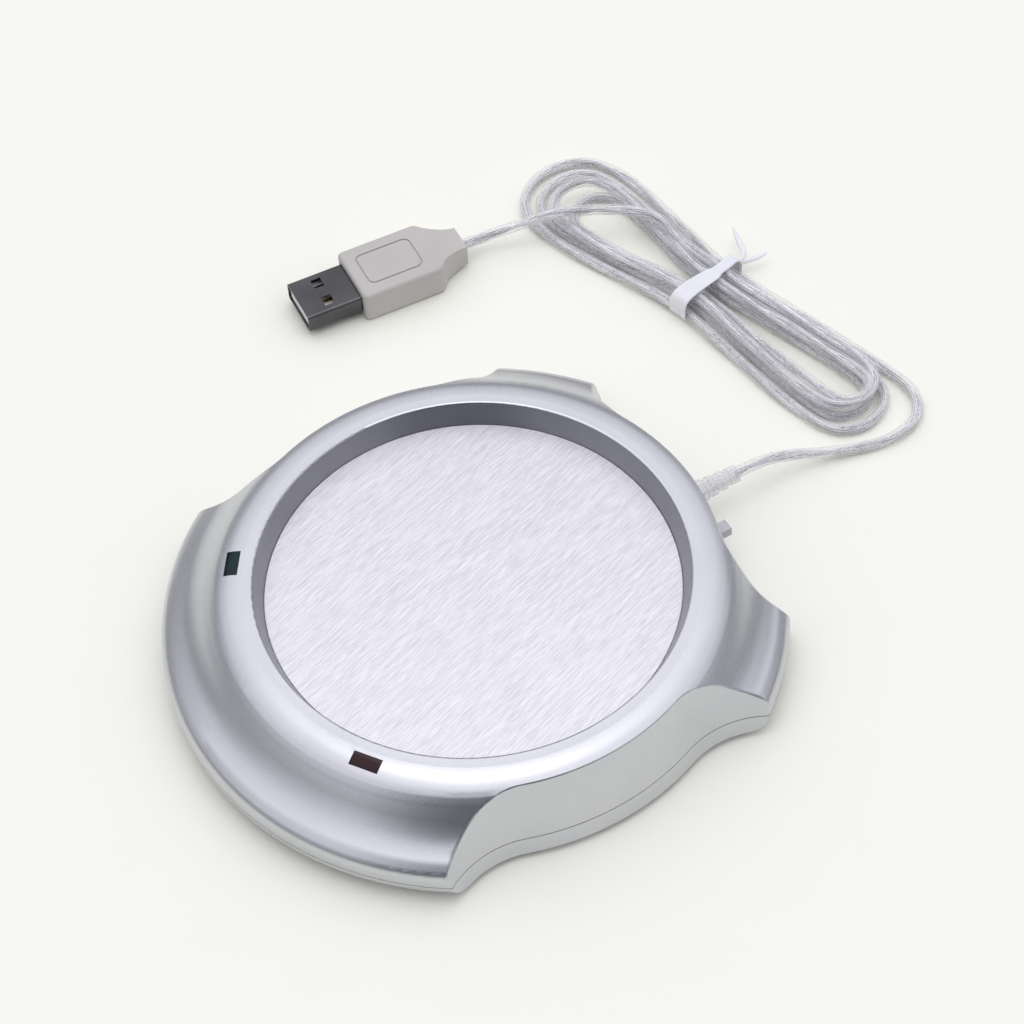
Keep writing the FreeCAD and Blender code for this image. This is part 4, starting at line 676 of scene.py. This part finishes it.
def range_in(group, low, high):
    node = group.nodes.new("ShaderNodeMapRange")
    node.inputs["From Min"].default_value = low
    node.inputs["From Max"].default_value = high
    return node


def brushed_group():
    group, given, out = new_group("brushed_lines", [
        ("Direction", "NodeSocketVector", (0.0, 0.0, 0.0)),
        ("Depth", "NodeSocketFloat", 0.1),
    ], [
        ("Lines", "NodeSocketFloat"),
        ("Scratches", "NodeSocketFloat"),
        ("Normal", "NodeSocketVector"),
    ])
    place = group.nodes.new("ShaderNodeTexCoord")
    join = group.links.new
    turned = group.nodes.new("ShaderNodeVectorRotate")
    turned.rotation_type = "EULER_XYZ"
    join(place.outputs["Object"], turned.inputs["Vector"])
    join(given.outputs["Direction"], turned.inputs["Rotation"])
    made = []
    for scale, detail in (FINE_LINES, SCRATCHES, HAIR_LINES):
        stretched = group.nodes.new("ShaderNodeMapping")
        stretched.inputs["Scale"].default_value = scale
        lines = noise_in(group, 1.0, detail, 0.65)
        join(turned.outputs["Vector"], stretched.inputs["Vector"])
        join(stretched.outputs["Vector"], lines.inputs["Vector"])
        made.append(lines.outputs["Fac"])
    fine, scratches, hair = made
    mixed = group.nodes.new("ShaderNodeMath")
    mixed.operation = "MULTIPLY_ADD"
    mixed.inputs[1].default_value = FINE_SHARE
    join(fine, mixed.inputs[0])
    join(hair, mixed.inputs[2])
    picked = range_in(group, 0.58, 0.80)
    join(scratches, picked.inputs["Value"])
    spread = range_in(group, 0.60, 1.00)
    join(mixed.outputs["Value"], spread.inputs["Value"])
    bump = group.nodes.new("ShaderNodeBump")
    bump.inputs["Distance"].default_value = 0.0001
    join(given.outputs["Depth"], bump.inputs["Strength"])
    join(mixed.outputs["Value"], bump.inputs["Height"])
    join(spread.outputs["Result"], out.inputs["Lines"])
    join(picked.outputs["Result"], out.inputs["Scratches"])
    join(bump.outputs["Normal"], out.inputs["Normal"])
    return group


GRAIN = grain_group()
BRUSHED = brushed_group()
print("shared effects:", GRAIN.name, BRUSHED.name)

# %% [markdown]
# ## Finishes
#
# One helper makes a finish with a grain: the colour drifts between two near shades, the gloss
# drifts between two values, and the grain gives the bump. Values that are the same all over are
# set on the shader itself.

# %% A finish with a grain
def shader_of(material):
    material.use_nodes = True
    nodes = material.node_tree.nodes
    return nodes, material.node_tree.links.new, nodes["Principled BSDF"]


def between(nodes, join, factor, low, high):
    """A value that goes from low to high as the factor goes from 0.3 to 0.7."""
    node = nodes.new("ShaderNodeMapRange")
    node.inputs["From Min"].default_value, node.inputs["From Max"].default_value = 0.3, 0.7
    node.inputs["To Min"].default_value, node.inputs["To Max"].default_value = low, high
    join(factor, node.inputs["Value"])
    return node.outputs["Result"]


def mixed_colours(nodes, join, factor, first, second):
    node = nodes.new("ShaderNodeMix")
    node.data_type = "RGBA"
    node.inputs["A"].default_value = (*first, 1)
    node.inputs["B"].default_value = (*second, 1)
    join(factor, node.inputs["Factor"])
    return node.outputs["Result"]


def grained(name, shades, gloss, metal=0.0, scale=2500, depth=0.1, **constants):
    """A finish whose colour and roughness drift, with a fine grain as bump."""
    material = bpy.data.materials.new(name)
    nodes, join, shader = shader_of(material)
    grain = nodes.new("ShaderNodeGroup")
    grain.node_tree = GRAIN
    grain.inputs["Grain Scale"].default_value = scale
    grain.inputs["Depth"].default_value = depth
    drift = between(nodes, join, grain.outputs["Blotch"], 0, 1)
    join(mixed_colours(nodes, join, drift, *shades), shader.inputs["Base Color"])
    join(between(nodes, join, grain.outputs["Grain"], *gloss), shader.inputs["Roughness"])
    join(grain.outputs["Normal"], shader.inputs["Normal"])
    shader.inputs["Metallic"].default_value = metal
    for socket, value in constants.items():
        shader.inputs[socket.replace("_", " ")].default_value = value
    return material


def finish(material, *names):
    """Puts the material on each named node or piece."""
    for name in names:
        thing = NODES[name] if name in NODES else bpy.data.objects[name]
        thing.data.materials.clear()
        thing.data.materials.append(material)
    print(material.name, "on", ", ".join(names))


# %% [markdown]
# The housing's paint is a silver satin: fine metal flakes under a thin clear binder. It is built as
# a rough metal, pale with a trace of lilac, whose flakes vary the roughness. The steep wall of the
# recess reads darker than the rest, so it has a darker shade of the same paint: painted shade, for
# the shadow that falls in the recess.

# %% Silver paint
RECESS_WALL = 43.4 * MM
WALL_STEEP = 0.6
silver_paint = grained("satin_silver_paint", ((0.585, 0.59, 0.62), (0.62, 0.622, 0.652)),
                       (0.26, 0.35), metal=0.92, scale=5200, depth=0.10,
                       Coat_Weight=0.08, Coat_Roughness=0.35)
finish(silver_paint, "cover_shell", "top_cover", "base_cover")
# The recess wall's darker paint is painted shade, standing in for the shadow in the recess.
recess_painted_shade = grained("recess_wall_painted_shade", ((0.37, 0.37, 0.40), (0.42, 0.42, 0.45)), (0.30, 0.40),
                       metal=0.92, scale=5200, depth=0.10)
cover_shell.data.materials.append(recess_painted_shade)
painted_shade_faces = [face for face in cover_shell.data.polygons
                if face.center.xy.length < RECESS_WALL and abs(face.normal.z) < WALL_STEEP]
for face in painted_shade_faces:
    face.material_index = 1
print("faces of the recess wall:", len(painted_shade_faces))

# %% [markdown]
# The plate is rolled metal brushed in one direction. Its lines are noise stretched along the
# brushing, which was read from the photograph's streaks, and paler scratches lie among them.

# %% Brushed plate
BRUSHING = math.radians(107.3)
SCRATCH_COLOUR = (0.80, 0.80, 0.83, 1)


def brushed(name, shades, gloss, depth):
    material = bpy.data.materials.new(name)
    nodes, join, shader = shader_of(material)
    lines = nodes.new("ShaderNodeGroup")
    lines.node_tree = BRUSHED
    lines.inputs["Direction"].default_value = (0, 0, -BRUSHING)
    lines.inputs["Depth"].default_value = depth
    shade = mixed_colours(nodes, join, between(nodes, join, lines.outputs["Lines"], 0, 1), *shades)
    bright = nodes.new("ShaderNodeMix")
    bright.data_type = "RGBA"
    bright.inputs["B"].default_value = SCRATCH_COLOUR
    join(lines.outputs["Scratches"], bright.inputs["Factor"])
    join(shade, bright.inputs["A"])
    join(bright.outputs["Result"], shader.inputs["Base Color"])
    join(between(nodes, join, lines.outputs["Lines"], *gloss), shader.inputs["Roughness"])
    join(lines.outputs["Normal"], shader.inputs["Normal"])
    shader.inputs["Metallic"].default_value = 1.0
    return material


plate_metal = brushed("brushed_plate_metal", ((0.57, 0.565, 0.605), (0.78, 0.775, 0.82)),
                      (0.36, 0.48), 0.30)
finish(plate_metal, "heating_plate")

# %% [markdown]
# The two windows are smoked plastic: almost black, one with a trace of green and the other of red,
# polished but low in reflection.

# %% Smoked windows
WINDOW_TINTS = {"power_window": (0.004, 0.014, 0.014), "heat_window": (0.020, 0.004, 0.006)}
for window, tint in WINDOW_TINTS.items():
    shade = grained("smoked_" + window, (tint, tuple(1.6 * c for c in tint)), (0.08, 0.16),
                    scale=900, depth=0.03, IOR=1.33)
    finish(shade, window)

# %% [markdown]
# The cord's jacket is clear vinyl. Straight on it lets the wires show, and towards its edges it
# turns milky and shines, so its opacity follows the angle at which it is seen. The wires are bright
# tinned copper, a little uneven along their length.

# %% Clear jacket and tinned wires
def clear_vinyl(name, colour, facing_alpha, edge_alpha):
    """Vinyl whose opacity goes from facing_alpha straight on to edge_alpha at its edges."""
    material = bpy.data.materials.new(name)
    nodes, join, shader = shader_of(material)
    grain = nodes.new("ShaderNodeGroup")
    grain.node_tree = GRAIN
    grain.inputs["Grain Scale"].default_value = 700
    grain.inputs["Depth"].default_value = 0.05
    join(grain.outputs["Normal"], shader.inputs["Normal"])
    facing = nodes.new("ShaderNodeLayerWeight")
    facing.inputs["Blend"].default_value = 0.35
    cover = nodes.new("ShaderNodeMapRange")
    cover.inputs["To Min"].default_value = facing_alpha
    cover.inputs["To Max"].default_value = edge_alpha
    join(facing.outputs["Facing"], cover.inputs["Value"])
    join(cover.outputs["Result"], shader.inputs["Alpha"])
    join(between(nodes, join, grain.outputs["Grain"], 0.10, 0.20), shader.inputs["Roughness"])
    join(mixed_colours(nodes, join, between(nodes, join, grain.outputs["Blotch"], 0, 1),
                       colour, tuple(0.94 * c for c in colour)), shader.inputs["Base Color"])
    shader.inputs["IOR"].default_value = 1.5
    return material


finish(clear_vinyl("clear_cord_vinyl", (0.97, 0.97, 0.985), 0.14, 0.62), "cord_jacket")
finish(grained("tinned_wire", ((0.66, 0.66, 0.69), (0.98, 0.98, 0.99)), (0.20, 0.38), metal=0.55,
               scale=900, depth=0.2), "cord_wires")

# %% [markdown]
# The plug's grip is warm grey vinyl with a matt grain. Its shell is polished metal whose colour is
# made nearly black, a painted dark reflection, to match the tone that it has in the photograph,
# with a white tongue and gilt contacts inside. The tie is soft white vinyl, and the bush is clear
# vinyl that is a little milkier than the cord's.

# %% Plug, bush and tie
finish(grained("plug_vinyl_matt", ((0.535, 0.507, 0.487), (0.575, 0.547, 0.527)), (0.48, 0.60),
               scale=3000, depth=0.12), "plug_overmould")
# The shell's near-black colour is a painted dark reflection on polished steel.
finish(grained("plug_shell_steel_painted_dark_reflection", ((0.08, 0.08, 0.083), (0.135, 0.135, 0.14)), (0.16, 0.26),
               metal=1.0, scale=1500, depth=0.03), "plug_shell")
finish(grained("tongue_white", ((0.80, 0.80, 0.78), (0.84, 0.84, 0.82)), (0.35, 0.45), scale=2500,
               depth=0.05), "plug_tongue")
finish(grained("gilt_contacts", ((0.83, 0.62, 0.27), (0.90, 0.70, 0.33)), (0.18, 0.30), metal=1.0,
               scale=1500, depth=0.03), "plug_contacts")
finish(grained("tie_white_vinyl", ((0.82, 0.81, 0.85), (0.90, 0.89, 0.92)), (0.28, 0.42), scale=900,
               depth=0.10, Subsurface_Weight=0.25, Subsurface_Scale=0.001), "tie_band", "tie_ends")
finish(clear_vinyl("bush_clear_vinyl", (0.93, 0.93, 0.95), 0.22, 0.7), "cord_bush", "inner_cord")

# %% [markdown]
# ## Inner parts
#
# The parts inside the housing are seen only when it is taken apart. They get the finishes that such
# parts have: foil, felt, zinc-plated steel, a green board, and coloured lamps. The feet, the screws
# and the silver-grey switch slider are listed here too. Each line gives the finish's name, its two
# shades, its gloss, how metallic it is, its grain's scale, and the nodes that it goes on.

# %% Inner finishes
INNER = [
    ("heater_foil_finish", ((0.55, 0.30, 0.10), (0.68, 0.42, 0.16)), (0.25, 0.4), 0.6, 900,
     ["film_heater"]),
    ("zinc_steel_finish", ((0.55, 0.56, 0.56), (0.70, 0.70, 0.68)), (0.25, 0.45), 1.0, 500,
     ["heater_retainer"]),
    ("cutout_metal_finish", ((0.62, 0.62, 0.62), (0.75, 0.75, 0.75)), (0.2, 0.35), 1.0, 900,
     ["thermal_cutout"]),
    ("screw_steel_finish", ((0.42, 0.42, 0.43), (0.56, 0.56, 0.57)), (0.22, 0.38), 1.0, 1200,
     ["cover_screws", "retainer_screws", "board_screws", "clamp_screws"]),
    ("foot_rubber_finish", ((0.035, 0.035, 0.037), (0.06, 0.06, 0.062)), (0.7, 0.85), 0.0, 1800,
     ["foot_pads"]),
    ("board_green_finish", ((0.02, 0.16, 0.06), (0.03, 0.24, 0.09)), (0.3, 0.42), 0.0, 700,
     ["circuit_board"]),
    ("power_lamp_finish", ((0.10, 0.45, 0.16), (0.18, 0.60, 0.25)), (0.1, 0.18), 0.0, 800,
     ["power_lamp"]),
    ("heat_lamp_finish", ((0.55, 0.06, 0.05), (0.70, 0.12, 0.10)), (0.1, 0.18), 0.0, 800,
     ["heat_lamp"]),
    ("chip_plastic_finish", ((0.02, 0.02, 0.022), (0.05, 0.05, 0.05)), (0.4, 0.55), 0.0, 2000,
     ["board_parts", "switch_body"]),
    ("slider_plastic_finish", ((0.50, 0.505, 0.53), (0.57, 0.575, 0.60)), (0.35, 0.45), 0.0, 2600,
     ["switch_slider"]),
    ("clamp_plastic_finish", ((0.75, 0.74, 0.70), (0.82, 0.81, 0.77)), (0.4, 0.5), 0.0, 2200,
     ["cord_clamp"]),
    ("lead_vinyl_finish", ((0.45, 0.03, 0.03), (0.60, 0.06, 0.05)), (0.3, 0.4), 0.0, 1200,
     ["supply_leads", "heater_leads", "switch_leads"]),
    ("felt_finish", ((0.72, 0.69, 0.62), (0.84, 0.81, 0.74)), (0.85, 0.97), 0.0, 1500,
     ["insulation_pad"]),
]
for title, shades, gloss, metal, scale, names in INNER:
    finish(grained(title, shades, gloss, metal=metal, scale=scale, depth=0.15), *names)

# %% [markdown]
# ## Floor and light
#
# The floor is one large flat sheet of plain cream card. The light is a sky that is dark at the
# horizon and pale overhead, with a dimmer patch low on the camera's side, which gives the dome its
# soft dark band. One large soft lamp hangs over the plate.

# %% Floor
FLOOR_HALF = 6.0


def floor():
    bm = bmesh.new()
    bmesh.ops.create_grid(bm, x_segments=1, y_segments=1, size=FLOOR_HALF)
    mesh = bpy.data.meshes.new("studio_floor")
    bm.to_mesh(mesh)
    bm.free()
    thing = link("studio_floor", mesh)
    card = grained("cream_card", ((0.955, 0.962, 0.865), (0.96, 0.967, 0.87)), (0.85, 0.9),
                   scale=40, depth=0.0)
    mesh.materials.append(card)
    return thing


print("floor:", floor().name)

# %% Sky
# Each stop: how high it is, as the upward part of its direction, and its colour
SKY = [
    (0.0, (0.10, 0.105, 0.12)),
    (0.24, (0.24, 0.245, 0.27)),
    (0.52, (0.66, 0.66, 0.70)),
    (0.78, (0.82, 0.82, 0.88)),
    (1.0, (1.05, 1.05, 1.10)),
]
DIM_HEIGHT = math.radians(24)
DIM_COLOUR = (0.02, 0.024, 0.04, 1)
DIM_FROM, DIM_TO = 0.74, 0.96
SKY_STRENGTH = 1.35


def sky():
    world = bpy.data.worlds.new("pale_sky")
    bpy.context.scene.world = world
    world.use_nodes = True
    nodes, join = world.node_tree.nodes, world.node_tree.links.new
    shine = nodes["Background"]
    place = nodes.new("ShaderNodeTexCoord")
    parts = nodes.new("ShaderNodeSeparateXYZ")
    join(place.outputs["Generated"], parts.inputs["Vector"])
    height = nodes.new("ShaderNodeValToRGB")
    stops = height.color_ramp.elements
    while len(stops) < len(SKY):
        stops.new(0.5)
    for stop, (at, colour) in zip(stops, SKY):
        stop.position = at
        stop.color = (*colour, 1)
    join(parts.outputs["Z"], height.inputs["Fac"])
    near = nodes.new("ShaderNodeVectorMath")
    near.operation = "DOT_PRODUCT"
    near.inputs[1].default_value = (
        math.sin(CAMERA_AZIMUTH) * math.cos(DIM_HEIGHT),
        -math.cos(CAMERA_AZIMUTH) * math.cos(DIM_HEIGHT),
        math.sin(DIM_HEIGHT),
    )
    join(place.outputs["Generated"], near.inputs[0])
    dim = nodes.new("ShaderNodeMapRange")
    dim.interpolation_type = "SMOOTHSTEP"
    dim.inputs["From Min"].default_value = DIM_FROM
    dim.inputs["From Max"].default_value = DIM_TO
    join(near.outputs["Value"], dim.inputs["Value"])
    mixed = nodes.new("ShaderNodeMix")
    mixed.data_type = "RGBA"
    mixed.inputs["B"].default_value = DIM_COLOUR
    join(dim.outputs["Result"], mixed.inputs["Factor"])
    join(height.outputs["Color"], mixed.inputs["A"])
    join(mixed.outputs["Result"], shine.inputs["Color"])
    shine.inputs["Strength"].default_value = SKY_STRENGTH
    return world


print("sky:", sky().name)

# %% Lamp
def soft_lamp(name, azimuth, height, away, size, watts, colour):
    """A square soft lamp that faces the plate."""
    a, e = math.radians(azimuth), math.radians(height)
    out = Vector((math.sin(a) * math.cos(e), -math.cos(a) * math.cos(e), math.sin(e)))
    data = bpy.data.lights.new(name, "AREA")
    data.shape = "SQUARE"
    data.size, data.energy, data.color = size, watts, colour
    lamp = link(name, data)
    lamp.rotation_mode = "QUATERNION"
    lamp.rotation_quaternion = out.to_track_quat("Z", "Y")
    lamp.location = out * away
    return lamp


top_lamp = soft_lamp("top_softbox", azimuth=250, height=82, away=1.4, size=0.7, watts=1.5,
                     colour=(1.0, 0.99, 1.0))
bpy.context.scene.view_settings.view_transform = "Standard"
print("lamp:", top_lamp.name)
